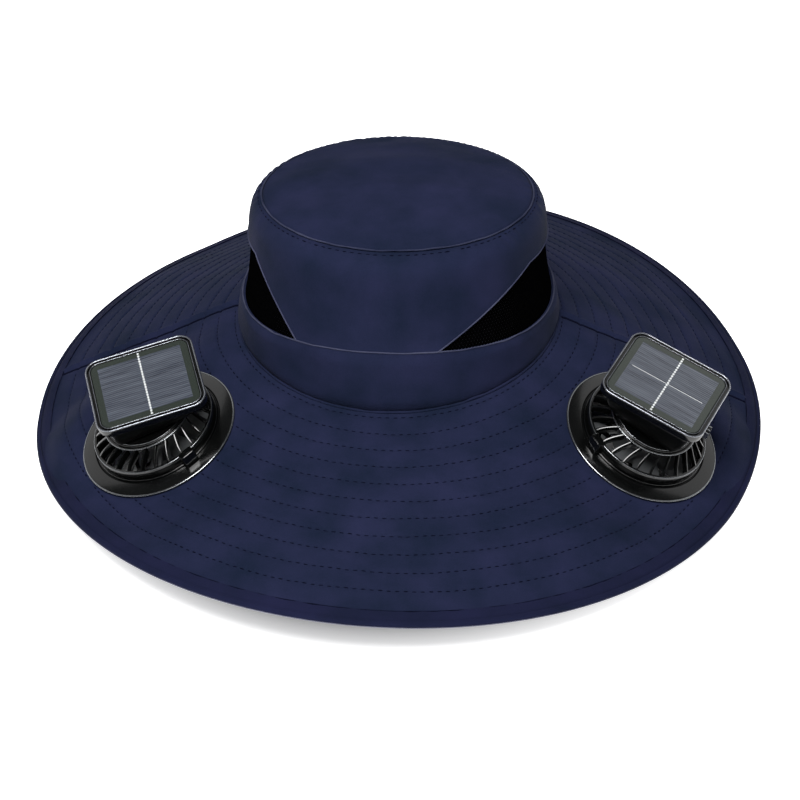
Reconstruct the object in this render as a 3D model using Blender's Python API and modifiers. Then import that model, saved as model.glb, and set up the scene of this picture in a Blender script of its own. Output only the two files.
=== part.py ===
"""A wide-brimmed sun hat with two solar fan units set into its brim.

Lengths are in metres and +Z is up. The wearer faces -Y. An azimuth is measured round the crown
from the front towards +X. The hat stands on its rim, whose lowest stretches lie flat at z = 0.
"""

import math

import bmesh
import bpy
import numpy as np
from mathutils import Euler, Matrix, Vector

# Crown
SEAM_HEIGHT = 0.0605        # brim seam above the surface, at the hat's sides
SEAM_HALF_WIDTH = 0.0907
SEAM_HALF_DEPTH = 0.1015
SEAM_DIP = 0.0039           # how much lower the seam lies at front and back
BAND_RISE = 0.0228          # height of the band at the hat's sides
BAND_FRONT_RISE = 0.0060    # what the band's top edge gains at front and back
BAND_HALF_WIDTH = 0.0862
BAND_HALF_DEPTH = 0.0940
TIP_RISE = 0.0758           # seam of the crown's top above the brim seam
TIP_HALF_WIDTH = 0.0749
TIP_HALF_DEPTH = 0.0750
TIP_TILT = math.radians(3.0)
DOME_RISE = 0.0094
WALL_LEAN = 0.42            # share of the wall's inset that it takes below its shoulder
LEAN_CURVE = 2.2            # power by which the wall leans, most at its foot
SHOULDER_CURVE = 12         # power by which the shoulder turns in, all of it near the top seam
CROWN_BACK = 0.0034         # how far the crown's axis lies behind the middle of the hat
CROWN_CLOTH = 0.0014
MESH_CLOTH = 0.0010

# Windows in the crown's wall: the azimuths of the two low tips and of the two ends of the top edge
WINDOW_SHARE = 0.55         # height of the top edge, as a share of the wall
WINDOWS = {
    "left": {"front": -32.0, "top_front": -60.0, "top_back": -112.0, "back": -142.0},
    "right": {"front": 19.0, "top_front": 60.0, "top_back": 112.0, "back": 142.0},
}
LEAST_WINDOW = 0.045        # share of the wall at which a window's pointed end is cut off

# Brim
BRIM_HALF_WIDTH = 0.2100
BRIM_HALF_DEPTH = 0.2320
BRIM_WIDEST = 0.0040        # widest line of the brim, behind the middle
BRIM_DROP = 0.0517          # mean height of the rim below the brim seam
BRIM_NOD = 0.0050           # front higher, back lower
BRIM_SADDLE = 0.0098        # front and back higher, sides lower
BRIM_TWIST = 0.0043
BRIM_CLOTH = 0.0020
REST_BLEND = 0.0007         # height over which the rim eases on to the flat it rests on
BINDING_WIDTH = 0.0034
BINDING_HEIGHT = 0.0032
BINDING_FLAT = 0.5          # share of the binding's width that is flat above and below

# Fan units
FLANGE_RADIUS = 0.0440
FLANGE_HEIGHT = 0.0028
FLANGE_EDGE = 0.0013
FLANGE_ROUND = 0.0012       # width of the flange's rounded edge
FLANGE_FALL = 0.0004        # how much its face falls outwards
FLANGE_STEP = 0.0008        # width of the step up to the cage
FACE_INNER_RADIUS = 0.0357
BARREL_RADIUS = 0.0346
BARREL_WALL = 0.0020
BARREL_DEPTH = 0.0130
SEAT_HEIGHT = 0.0040
CAGE_HEIGHT = 0.0094        # outer ring of the vanes above the brim
HUB_HEIGHT = 0.0175
HUB_RADIUS = 0.0245
CAGE_WALL = 0.0019
LIP_INSET = 0.0016          # the cage's outer ring, inwards of the barrel
LIP_FALL = 0.0020
LIP_RING = 0.0012           # what is left of the outer ring outside the slots
HUB_RING = 0.0010           # and of the hub ring inside them
HUB_LEAN = 0.0006
VANES = 26
VANE_SHARE = 0.27           # share of the pitch that a vane takes
MOTOR_RADIUS = 0.0115
MOTOR_BOTTOM = 0.0050
SHAFT_RADIUS = 0.0012
SHAFT_CLEARANCE = 0.0003
SHAFT_BOTTOM = -0.0072
NUT_RADIUS = 0.0415
NUT_HEIGHT = 0.0032
GUARD_WALL = 0.0016
GUARD_SPOKES = 6
GUARD_SPOKE_SHARE = 0.16
GUARD_BORE = 0.0046
GUARD_RINGS = ((0.0078, 0.0183), (0.0202, 0.0326))      # inner and outer radius of its slots
BLADES = 7
BLADE_RADIUS = 0.0300
BLADE_THICKNESS = 0.0013
BLADE_CHORD = 0.0135
BLADE_PITCH = math.radians(32.0)
IMPELLER_HUB_RADIUS = 0.0130
IMPELLER_HUB_DEPTH = 0.0130
IMPELLER_TOP = 0.0038       # clear of the motor's underside
IMPELLER_CHAMFER = 0.0010
BLADE_ROOT = 0.0015         # how far the blades reach into the hub
PANEL_LENGTH = 0.0595
PANEL_WIDTH = 0.0520
PANEL_CORNER = 0.0080
PANEL_THICKNESS = 0.0050
PANEL_LIFT = 0.0390         # top of the panel above the brim, at the panel's middle
PANEL_BORDER = 0.0026
CELL_THICKNESS = 0.0011
HOUSING_MARGIN = 0.0045     # edge of the panel beyond the housing that carries it
HUB_MARGIN = 0.0012
HOUSING_ROWS = ((0.0, 0.0), (0.35, 0.62), (0.75, 0.96), (1.0, 1.0))     # shares of height, of swell
ROD_OVERLAP = 0.0040        # how far motor and shaft reach into the housing
PANEL_BEVEL = 0.0007

# Where each fan unit sits on the brim: azimuth, share of the brim from seam to rim, the
# leans of its axis about the hat's tangent and about its radius, the turn of its panel, how far
# the panel's middle lies inward of the axis, and the side to which the panel leans to face forward
FAN_LEAN_IN = 6.3
FAN_LEAN_FRONT = 4.3
FANS = {
    "left": {
        "azimuth": -53.8, "share": 0.505, "tangent": 1.7, "radius": -7.5,
        "turn": -18.2, "inward": 0.0078, "front": 1,
    },
    "right": {
        "azimuth": 64.3, "share": 0.525, "tangent": -0.4, "radius": 5.5,
        "turn": 3.3, "inward": 0.0046, "front": -1,
    },
}
FLAT_INNER = 0.0560         # the brim lies flat on each fan unit out to this radius
FLAT_OUTER = 0.0650         # and has its own shape again at this one

GAP = 0.0003                # between pieces that touch
TIP_GAP = 0.0006            # to the crown's top seam, where two thicknesses meet at an angle

# Numbers of facets
ROUND_STEPS = 80
WALL_PITCH = 6.0            # degrees
FAN_STEPS = 28
CORNER_STEPS = 5            # points on a rounded corner of the panel, and one less inside it
HOUSING_CORNER_STEPS = 6
IMPELLER_STEPS = 16
MOTOR_STEPS = 18
SHAFT_STEPS = 8
SPOKE_STEPS = 4             # facets of the guard for each of its spokes
WINDOW_ROWS = 3

# Pieces of the brim: azimuths of both ends, columns and rows
BRIM_PIECES = {"brim_front": (-90, 90, 45, 11), "brim_back": (90, 270, 33, 5)}
# Panels of the crown's wall: azimuths of both ends
WALL_PIECES = {"crown_front": (-88, 91), "crown_back": (91, 272)}
WALL_ROWS = (0, 0.45, 0.8, 0.93, 1)     # shares of each panel's height
TOP_ROWS = (0.78, 0.42)                 # shares of the top's radius, inside its edge

CUTTER_OVERLAP = 0.0020     # how far a cutter reaches past what it cuts
HOLE_CUTTER_DEPTH = 0.0300
SLOT_CUTTER_RISE = 0.0050
SHARP_ANGLE = math.radians(35)
MERGE_DISTANCE = 1e-5


def clear_scene():
    for item in list(bpy.data.objects):
        bpy.data.objects.remove(item, do_unlink=True)


def new_collection(name):
    collection = bpy.data.collections.new(name)
    bpy.context.scene.collection.children.link(collection)
    return collection


def material(name, color, roughness, metallic=0.0):
    """A Principled material, made once for each name."""
    found = bpy.data.materials.get(name)
    if found:
        return found
    made = bpy.data.materials.new(name)
    made.use_nodes = True
    shader = made.node_tree.nodes["Principled BSDF"]
    shader.inputs["Base Color"].default_value = (*color, 1.0)
    shader.inputs["Roughness"].default_value = roughness
    shader.inputs["Metallic"].default_value = metallic
    return made


def navy_cloth():
    return material("navy_cloth", (0.022, 0.027, 0.068), 0.8)


def black_mesh():
    return material("black_mesh", (0.004, 0.004, 0.005), 0.7)


def black_plastic():
    return material("black_plastic", (0.005, 0.005, 0.006), 0.18)


def solar_glass():
    return material("solar_glass", (0.07, 0.08, 0.10), 0.12)


def add_object(name, mesh, finish=None, collection=None):
    """Link a mesh as an object of its own, shaded smooth up to SHARP_ANGLE."""
    made = bpy.data.objects.new(name, mesh)
    (collection or PARTS).objects.link(made)
    if finish:
        mesh.materials.append(finish)
    mesh.shade_smooth()
    mesh.set_sharp_from_angle(angle=SHARP_ANGLE)
    return made


def hide_cutter(item):
    item.hide_render = True
    item.display_type = "WIRE"
    return item


# The hat's surfaces


def oval(azimuth, half_width, half_depth, height, centre_y=0.0):
    """Points of an oval round the hat: half_width * sin, -half_depth * cos."""
    x = half_width * np.sin(azimuth)
    y = centre_y - half_depth * np.cos(azimuth)
    return np.stack([x, y, height + 0 * azimuth], axis=-1)


def seam_line(azimuth):
    """The brim seam: an oval that dips at front and back."""
    height = SEAM_HEIGHT - SEAM_DIP * np.cos(azimuth) ** 2
    return oval(azimuth, SEAM_HALF_WIDTH, SEAM_HALF_DEPTH, height, CROWN_BACK)


def settle(height, floor, blend):
    """Raise what is below floor to it: flat below floor - blend, as it was above floor + blend."""
    over = height - floor
    eased = (over + blend) ** 2 / (4 * blend)
    return floor + np.where(over < -blend, 0.0, np.where(over > blend, over, eased))


def rim_line(azimuth):
    """The hat's outer edge: an oval whose height swings once and twice in a turn."""
    drop = BRIM_DROP - BRIM_NOD * np.cos(azimuth)
    wave = BRIM_SADDLE * np.cos(2 * azimuth) - BRIM_TWIST * np.sin(2 * azimuth)
    height = settle(SEAM_HEIGHT - drop + wave, BINDING_HEIGHT / 2, REST_BLEND)
    x = BRIM_HALF_WIDTH * np.sin(azimuth)
    y = -BRIM_HALF_DEPTH * np.cos(azimuth) + BRIM_WIDEST * np.sin(azimuth) ** 2
    return np.stack([x, y, height], axis=-1)


def ruled_brim(azimuth, share):
    """A straight run from the brim seam, share 0, to the rim, share 1."""
    share = np.asarray(share)[..., None]
    return seam_line(azimuth) * (1 - share) + rim_line(azimuth) * share


def unit(vector):
    return vector / np.linalg.norm(vector)


def fan_frame(side):
    """Middle, outward, sideways and upward directions of a fan unit on the brim."""
    row = FANS[side]
    azimuth = np.array(math.radians(row["azimuth"]))
    share = np.array(row["share"])
    step = 1e-3
    across = ruled_brim(azimuth + step, share) - ruled_brim(azimuth - step, share)
    along = ruled_brim(azimuth, share + step) - ruled_brim(azimuth, share - step)
    up = unit(np.cross(along, across))
    radial = np.array([math.sin(azimuth), -math.cos(azimuth), 0.0])
    tangent = np.array([math.cos(azimuth), math.sin(azimuth), 0.0])
    turn = Vector(tangent * math.radians(row["tangent"]) + radial * math.radians(row["radius"]))
    lean = Matrix.Rotation(turn.length, 3, turn.normalized())
    up = np.array(lean @ Vector(up))
    out = unit(radial - up * (radial @ up))
    return ruled_brim(azimuth, share), out, np.cross(up, out), up


def brim_surface(azimuth, share):
    """The ruled brim, laid flat on each fan unit and easing back to its own shape round it."""
    points = ruled_brim(azimuth, share)
    for side in FANS:
        middle, _, _, up = fan_frame(side)
        offset = points - middle
        height = offset @ up
        radius = np.linalg.norm(offset - height[..., None] * up, axis=-1)
        ease = np.clip((FLAT_OUTER - radius) / (FLAT_OUTER - FLAT_INNER), 0, 1)
        ease = ease * ease * (3 - 2 * ease)
        points = points - (ease * height)[..., None] * up
    return points


def band_top(azimuth):
    height = SEAM_HEIGHT + BAND_RISE + BAND_FRONT_RISE * np.cos(azimuth) ** 2
    return oval(azimuth, BAND_HALF_WIDTH, BAND_HALF_DEPTH, height, CROWN_BACK)


def tip_line(azimuth):
    """The seam of the crown's top, an oval tilted down at the back."""
    points = oval(azimuth, TIP_HALF_WIDTH, TIP_HALF_DEPTH, SEAM_HEIGHT + TIP_RISE)
    points[..., 2] -= points[..., 1] * math.tan(TIP_TILT)
    points[..., 1] += CROWN_BACK
    return points


def wall_surface(azimuth, share):
    """The crown's wall, from the band, share 0, over its shoulder to the top seam, share 1."""
    share = np.asarray(share)[..., None]
    lean = 1 - (1 - share) ** LEAN_CURVE
    inset = WALL_LEAN * lean + (1 - WALL_LEAN) * share**SHOULDER_CURVE
    low, high = band_top(azimuth), tip_line(azimuth)
    points = low * (1 - inset) + high * inset
    points[..., 2:] = low[..., 2:] * (1 - share) + high[..., 2:] * share
    return points


def band_surface(azimuth, share):
    share = np.asarray(share)[..., None]
    return seam_line(azimuth) * (1 - share) + band_top(azimuth) * share


def top_surface(azimuth, share):
    """The crown's top, from its seam, share 1, up to the middle, share 0."""
    share = np.asarray(share)[..., None]
    edge = tip_line(azimuth)
    middle = tip_line(np.array([0.0, math.pi])).mean(axis=0)
    points = middle * (1 - share) + edge * share
    points[..., 2:] += DOME_RISE * (1 - share**2)
    return points


def length_shares(surface, azimuth, distance):
    """The share that a distance along a surface takes at each azimuth, measured straight."""
    run = surface(azimuth, 1 + 0 * azimuth) - surface(azimuth, 0 * azimuth)
    return distance / np.linalg.norm(run, axis=-1)


def window_slant(row, end):
    """How far from the hat's middle, in half widths, one end of a window starts and is full."""
    return [abs(math.sin(math.radians(row[key]))) for key in (end, "top_" + end)]


def window_share(azimuth):
    """Height of the windows' top edge at each azimuth, as a share of the wall, 0 elsewhere.

    It rises evenly with |sin(azimuth)|, so that a window's ends look straight from the front.
    """
    height = np.zeros_like(azimuth)
    for row in WINDOWS.values():
        across = math.copysign(1, row["front"]) * np.sin(azimuth)
        for end, facing in (("front", 1), ("back", -1)):
            start, full = window_slant(row, end)
            rise = WINDOW_SHARE * np.clip((across - start) / (full - start), 0, 1)
            height = np.where(facing * np.cos(azimuth) > 0, np.maximum(height, rise), height)
    return height


def grid_mesh(name, points, closed=False):
    """A mesh of quads on rows of points; closed joins the last column to the first."""
    rows, columns = points.shape[:2]
    index = np.arange(rows * columns).reshape(rows, columns)
    if closed:
        index = np.concatenate([index, index[:, :1]], axis=1)
    corners = [index[:-1, :-1], index[:-1, 1:], index[1:, 1:], index[1:, :-1]]
    faces = np.stack([corner.ravel() for corner in corners], axis=1)
    mesh = bpy.data.meshes.new(name)
    mesh.from_pydata(points.reshape(-1, 3).tolist(), [], faces.tolist())
    return mesh


def cloth(name, points, thickness, finish, closed=False):
    """A piece of cloth: its outer surface, thickened inwards."""
    piece = add_object(name, grid_mesh(name, points, closed), finish)
    wall = piece.modifiers.new("Thickness", "SOLIDIFY")
    wall.thickness = thickness
    wall.offset = -1
    wall.use_even_offset = True
    return piece


def spaced(start, end, count):
    return np.linspace(math.radians(start), math.radians(end), count)


def wall_columns(start, end):
    """Azimuths of the wall's columns: a regular pitch and the windows' corners, for every piece."""
    corners = [row[key] for row in WINDOWS.values() for key in row]
    regular = np.arange(-360, 361, WALL_PITCH)
    every = np.concatenate([regular, corners, np.add(corners, 360)])
    inside = every[(every > start + 1) & (every < end - 1)]
    return np.radians(np.unique([start, *inside, end]))


def side_gap(azimuth_line):
    """The angle that half a gap takes at the hat's side, seen from the crown's axis."""
    return math.degrees(GAP / 2 / np.linalg.norm(azimuth_line(np.array(math.pi / 2))))


def make_brim():
    """Front and back halves of the brim, which meet in a seam at each side."""
    trim = side_gap(seam_line)
    for name, (start, end, columns, rows) in BRIM_PIECES.items():
        azimuth = spaced(start + trim, end - trim, columns)
        outer = 1 - length_shares(ruled_brim, azimuth, BINDING_WIDTH + GAP)
        inner = length_shares(ruled_brim, azimuth, GAP)
        steps = np.linspace(0, 1, rows)[:, None]
        shares = outer * (1 - steps) + inner * steps
        points = brim_surface(np.broadcast_to(azimuth, shares.shape), shares)
        piece = cloth(name, points, BRIM_CLOTH, navy_cloth())
        if name == "brim_front":
            for side in FANS:
                cut(piece, hole_cutter(side))


def hole_cutter(side):
    """A cylinder through the brim, clear of the fan unit's barrel."""
    mesh = bpy.data.meshes.new("hole_" + side)
    shape = bmesh.new()
    radius = BARREL_RADIUS + GAP
    bmesh.ops.create_cone(
        shape,
        cap_ends=True,
        segments=FAN_STEPS,
        radius1=radius,
        radius2=radius,
        depth=HOLE_CUTTER_DEPTH,
    )
    shape.to_mesh(mesh)
    shape.free()
    cutter = hide_cutter(add_object("hole_" + side, mesh, collection=CUTTERS))
    cutter.matrix_world = fan_matrix(side)
    return cutter


def make_binding():
    """The bound edge: a six-sided section that stays upright and flat-bottomed round the rim."""
    azimuth = spaced(0, 360, ROUND_STEPS + 1)[:-1]
    edge = rim_line(azimuth)
    inward = (seam_line(azimuth) - edge) * [1, 1, 0]
    inward /= np.linalg.norm(inward, axis=1)[:, None]
    half = np.array([BINDING_WIDTH, BINDING_HEIGHT]) / 2
    flat = BINDING_FLAT
    corners = [(1, 0), (flat, 1), (-flat, 1), (-1, 0), (-flat, -1), (flat, -1), (1, 0)]
    middle = edge + inward * half[0]
    rows = [middle - inward * x * half[0] + np.array([0, 0, z * half[1]]) for x, z in corners]
    mesh = grid_mesh("brim_binding", np.stack(rows), closed=True)
    shape = bmesh.new()
    shape.from_mesh(mesh)
    bmesh.ops.remove_doubles(shape, verts=shape.verts, dist=MERGE_DISTANCE)
    bmesh.ops.recalc_face_normals(shape, faces=shape.faces)
    shape.to_mesh(mesh)
    shape.free()
    add_object("brim_binding", mesh, navy_cloth())


def make_band():
    azimuth = spaced(0, 360, ROUND_STEPS + 1)[:-1]
    low = length_shares(band_surface, azimuth, GAP)
    shares = np.stack([low, 1 - low])
    points = band_surface(np.broadcast_to(azimuth, shares.shape), shares)
    cloth("crown_band", points, CROWN_CLOTH, navy_cloth(), closed=True)


def make_wall():
    """Front and back panels of the crown's wall, cut away over the windows."""
    trim = side_gap(band_top)
    for name, (start, end) in WALL_PIECES.items():
        azimuth = wall_columns(start + trim, end - trim)
        low = window_share(azimuth) + length_shares(wall_surface, azimuth, GAP)
        high = 1 - length_shares(wall_surface, azimuth, TIP_GAP)
        steps = np.array(WALL_ROWS)[:, None]
        shares = low + steps * (high - low)
        points = wall_surface(np.broadcast_to(azimuth, shares.shape), shares)
        cloth(name, points, CROWN_CLOTH, navy_cloth())


def make_windows():
    """Black mesh that fills each window, less the last of its two pointed ends."""
    cut_off = LEAST_WINDOW / WINDOW_SHARE
    for side, row in WINDOWS.items():
        tips = []
        for end in ("front", "back"):
            start, full = window_slant(row, end)
            tips.append(math.degrees(math.asin(start + (full - start) * cut_off)))
        front, back = np.array([tips[0], 180 - tips[1]]) * math.copysign(1, row["front"])
        azimuth = wall_columns(*sorted((front, back)))
        gap = length_shares(wall_surface, azimuth, GAP)
        steps = np.linspace(0, 1, WINDOW_ROWS)[:, None]
        shares = gap + steps * (window_share(azimuth) - 2 * gap)
        points = wall_surface(np.broadcast_to(azimuth, shares.shape), shares)
        cloth("mesh_" + side, points, MESH_CLOTH, black_mesh())


def make_top():
    """The crown's top, closed at its middle by a ring of triangles."""
    azimuth = spaced(0, 360, ROUND_STEPS // 2 + 1)[:-1]
    edge = 1 - TIP_GAP / TIP_HALF_WIDTH
    shares = np.array([edge, *TOP_ROWS])[:, None] + 0 * azimuth
    points = top_surface(np.broadcast_to(azimuth, shares.shape), shares)
    piece = cloth("crown_top", points, CROWN_CLOTH, navy_cloth(), closed=True)
    shape = bmesh.new()
    shape.from_mesh(piece.data)
    middle = shape.verts.new(top_surface(np.array(0.0), np.array(0.0)))
    shape.verts.ensure_lookup_table()
    last = len(azimuth) * (len(shares) - 1)
    for step in range(len(azimuth)):
        after = (step + 1) % len(azimuth)
        shape.faces.new((shape.verts[last + step], shape.verts[last + after], middle))
    for face in shape.faces:
        face.smooth = True
    shape.to_mesh(piece.data)
    shape.free()


# The fan units, each modelled round its own axis with the brim's upper face at z = 0


def fan_matrix(side):
    middle, out, sideways, up = fan_frame(side)
    turned = Matrix((out, sideways, up)).transposed()
    return Matrix.Translation(middle) @ turned.to_4x4()


def panel_matrix(side):
    """Place of the panel's top face in its fan unit: leaning in and forward, and turned."""
    row = FANS[side]
    lean = Euler((-row["front"] * math.radians(FAN_LEAN_FRONT), -math.radians(FAN_LEAN_IN), 0))
    turn = Matrix.Rotation(math.radians(row["turn"]), 4, "Z")
    place = Matrix.Translation((-row["inward"], 0, PANEL_LIFT))
    return place @ lean.to_matrix().to_4x4() @ turn


def turned(name, profile, steps=FAN_STEPS):
    """A closed profile of (radius, height) points, turned once round the axis."""
    mesh = bpy.data.meshes.new(name)
    count = len(profile)
    edges = [(step, (step + 1) % count) for step in range(count)]
    mesh.from_pydata([(radius, 0, height) for radius, height in profile], edges, [])
    shape = add_object(name, mesh, black_plastic())
    screw = shape.modifiers.new("Turn", "SCREW")
    screw.steps = steps
    screw.render_steps = steps
    screw.use_merge_vertices = True
    screw.merge_threshold = MERGE_DISTANCE
    return shape


def cut(piece, cutter, operation="DIFFERENCE"):
    boolean = piece.modifiers.new(cutter.name, "BOOLEAN")
    boolean.operation = operation
    boolean.object = cutter


def sectors(name, inner, outer, low, high, count, share, start=0.0):
    """Blocks spread evenly round the axis, each taking a share of the pitch."""
    shape = bmesh.new()
    half = math.pi / count * share
    for step in range(count):
        middle = 2 * math.pi * step / count + start
        ring = [
            (radius * math.cos(middle + side * half), radius * math.sin(middle + side * half))
            for radius, side in ((inner, -1), (outer, -1), (outer, 1), (inner, 1))
        ]
        bottom = [shape.verts.new((x, y, low)) for x, y in ring]
        top = [shape.verts.new((x, y, high)) for x, y in ring]
        shape.faces.new(bottom[::-1])
        shape.faces.new(top)
        for corner in range(4):
            after = (corner + 1) % 4
            shape.faces.new((bottom[corner], bottom[after], top[after], top[corner]))
    mesh = bpy.data.meshes.new(name)
    shape.to_mesh(mesh)
    shape.free()
    return hide_cutter(add_object(name, mesh, collection=CUTTERS))


def attach(items, frame):
    for item in items:
        item.parent = frame
    return items


def make_flange(side):
    """The ring that lies on the brim, with the barrel that passes through it."""
    inner = BARREL_RADIUS - BARREL_WALL
    profile = [
        (FACE_INNER_RADIUS, FLANGE_HEIGHT),
        (FLANGE_RADIUS - FLANGE_ROUND, FLANGE_HEIGHT - FLANGE_FALL),
        (FLANGE_RADIUS, FLANGE_EDGE),
        (FLANGE_RADIUS, GAP),
        (BARREL_RADIUS, GAP),
        (BARREL_RADIUS, -BARREL_DEPTH),
        (inner, -BARREL_DEPTH),
        (inner, SEAT_HEIGHT - GAP),
        (FACE_INNER_RADIUS - FLANGE_STEP, SEAT_HEIGHT - GAP),
    ]
    return [turned("fan_flange_" + side, profile)]


def make_cage(side):
    """The slotted cone over the blades, from its seat on the flange to its hub ring."""
    bore = MOTOR_RADIUS + GAP
    lip = BARREL_RADIUS - LIP_INSET
    profile = [
        (bore, HUB_HEIGHT),
        (HUB_RADIUS, HUB_HEIGHT),
        (lip, CAGE_HEIGHT),
        (BARREL_RADIUS, CAGE_HEIGHT - LIP_FALL),
        (BARREL_RADIUS, SEAT_HEIGHT),
        (BARREL_RADIUS - BARREL_WALL, SEAT_HEIGHT),
        (BARREL_RADIUS - BARREL_WALL, CAGE_HEIGHT - CAGE_WALL),
        (HUB_RADIUS - HUB_LEAN, HUB_HEIGHT - CAGE_WALL),
        (bore, HUB_HEIGHT - CAGE_WALL),
    ]
    cage = turned("fan_cage_" + side, profile, VANES)
    radii = (HUB_RADIUS + HUB_RING, lip - LIP_RING)
    heights = (SEAT_HEIGHT, HUB_HEIGHT + SLOT_CUTTER_RISE)
    middle = math.pi / VANES
    slots = sectors("slots_" + side, *radii, *heights, VANES, 1 - VANE_SHARE, middle)
    cut(cage, slots)
    return [cage, slots]


def make_guard(side):
    """The nut under the brim that draws the flange down, with the spoked guard below it."""
    outer = BARREL_RADIUS + GAP + GUARD_WALL
    top = -BRIM_CLOTH - GAP
    floor = -BARREL_DEPTH - GAP
    profile = [
        (GUARD_BORE, floor),
        (BARREL_RADIUS + GAP, floor),
        (BARREL_RADIUS + GAP, top),
        (NUT_RADIUS, top),
        (NUT_RADIUS, top - NUT_HEIGHT),
        (outer, top - NUT_HEIGHT),
        (outer, floor - GUARD_WALL),
        (GUARD_BORE, floor - GUARD_WALL),
    ]
    guard = turned("fan_guard_" + side, profile[::-1], GUARD_SPOKES * SPOKE_STEPS)
    items = [guard]
    low, high = floor - GUARD_WALL - CUTTER_OVERLAP, floor + CUTTER_OVERLAP
    for number, (inner, outer_end) in enumerate(GUARD_RINGS):
        name = f"guard_slots_{number}_{side}"
        size = (inner, outer_end, low, high)
        slots = sectors(name, *size, GUARD_SPOKES, 1 - GUARD_SPOKE_SHARE)
        cut(guard, slots)
        items.append(slots)
    return items


def blade_mesh(name):
    """Pitched blades: flat slabs, each turned about its own radius."""
    shape = bmesh.new()
    root = IMPELLER_HUB_RADIUS - BLADE_ROOT
    middle_height = IMPELLER_TOP - IMPELLER_HUB_DEPTH / 2
    for step in range(BLADES):
        size = Matrix.Diagonal((BLADE_RADIUS - root, BLADE_CHORD, BLADE_THICKNESS, 1))
        place = Matrix.Translation(((BLADE_RADIUS + root) / 2, 0, middle_height))
        pitch = Matrix.Rotation(BLADE_PITCH, 4, "X")
        spin = Matrix.Rotation(2 * math.pi * step / BLADES, 4, "Z")
        bmesh.ops.create_cube(shape, size=1, matrix=spin @ place @ pitch @ size)
    mesh = bpy.data.meshes.new(name)
    shape.to_mesh(mesh)
    shape.free()
    return mesh


def make_impeller(side):
    """The hub and blades that spin on the motor's shaft."""
    bottom = IMPELLER_TOP - IMPELLER_HUB_DEPTH
    bore = SHAFT_RADIUS + SHAFT_CLEARANCE
    profile = [
        (bore, IMPELLER_TOP),
        (IMPELLER_HUB_RADIUS - IMPELLER_CHAMFER, IMPELLER_TOP),
        (IMPELLER_HUB_RADIUS, IMPELLER_TOP - IMPELLER_CHAMFER),
        (IMPELLER_HUB_RADIUS, bottom),
        (bore, bottom),
    ]
    impeller = turned("impeller_" + side, profile, IMPELLER_STEPS)
    mesh = blade_mesh("blades_" + side)
    blades = hide_cutter(add_object("blades_" + side, mesh, collection=CUTTERS))
    cut(impeller, blades, "UNION")
    return [impeller, blades]


def rounded_outline(length, width, corner, per_corner):
    """Points of a rounded rectangle, anticlockwise from the corner at +X and -Y."""
    points = []
    for x, y, start in ((1, -1, 270), (1, 1, 0), (-1, 1, 90), (-1, -1, 180)):
        for step in range(per_corner):
            angle = math.radians(start + 90 * step / (per_corner - 1))
            points.append(
                (
                    x * (length / 2 - corner) + corner * math.cos(angle),
                    y * (width / 2 - corner) + corner * math.sin(angle),
                )
            )
    return points


def lofted(name, rows, finish, collection=None):
    """A solid through closed rows of points, capped at its first and last row."""
    mesh = grid_mesh(name, rows, closed=True)
    count = rows.shape[1]
    shape = bmesh.new()
    shape.from_mesh(mesh)
    shape.verts.ensure_lookup_table()
    shape.faces.new(shape.verts[:count][::-1])
    shape.faces.new(shape.verts[-count:])
    shape.to_mesh(mesh)
    shape.free()
    return add_object(name, mesh, finish, collection)


def make_housing(side):
    """The battery housing, lofted from the round hub ring to the panel, with motor and shaft."""
    place = panel_matrix(side)
    long_side = PANEL_LENGTH - 2 * HOUSING_MARGIN
    short_side = PANEL_WIDTH - 2 * HOUSING_MARGIN
    outline = rounded_outline(long_side, short_side, PANEL_CORNER, HOUSING_CORNER_STEPS)
    under = -PANEL_THICKNESS - GAP
    high = [place @ Vector((x, y, under)) for x, y in outline]
    centre = place @ Vector((0, 0, under))
    rows = []
    low_radius = HUB_RADIUS - HUB_MARGIN
    low_height = HUB_HEIGHT + GAP
    for share, swell in HOUSING_ROWS:
        row = []
        for point in high:
            direction = math.atan2(point.y - centre.y, point.x - centre.x)
            low = Vector((low_radius * math.cos(direction), low_radius * math.sin(direction), low_height))
            mixed = low.lerp(point, swell)
            mixed.z = low.z + (point.z - low.z) * share
            row.append(tuple(mixed))
        rows.append(row)
    housing = lofted("fan_housing_" + side, np.array(rows), black_plastic())
    items = [housing]
    rods = {
        "motor": (MOTOR_RADIUS, MOTOR_BOTTOM, MOTOR_STEPS),
        "shaft": (SHAFT_RADIUS, SHAFT_BOTTOM, SHAFT_STEPS),
    }
    top = HUB_HEIGHT + ROD_OVERLAP
    for name, (radius, bottom, segments) in rods.items():
        rod_mesh = bpy.data.meshes.new(name + "_" + side)
        rod = bmesh.new()
        bmesh.ops.create_cone(
            rod,
            cap_ends=True,
            segments=segments,
            radius1=radius,
            radius2=radius,
            depth=top - bottom,
            matrix=Matrix.Translation((0, 0, (top + bottom) / 2)),
        )
        rod.to_mesh(rod_mesh)
        rod.free()
        item = hide_cutter(add_object(name + "_" + side, rod_mesh, collection=CUTTERS))
        cut(housing, item, "UNION")
        items.append(item)
    return items


def slab(name, outline, low, high, finish, collection=None):
    """A closed outline raised from low to high."""
    rows = np.array([[(x, y, height) for x, y in outline] for height in (low, high)])
    return lofted(name, rows, finish, collection)


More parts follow.
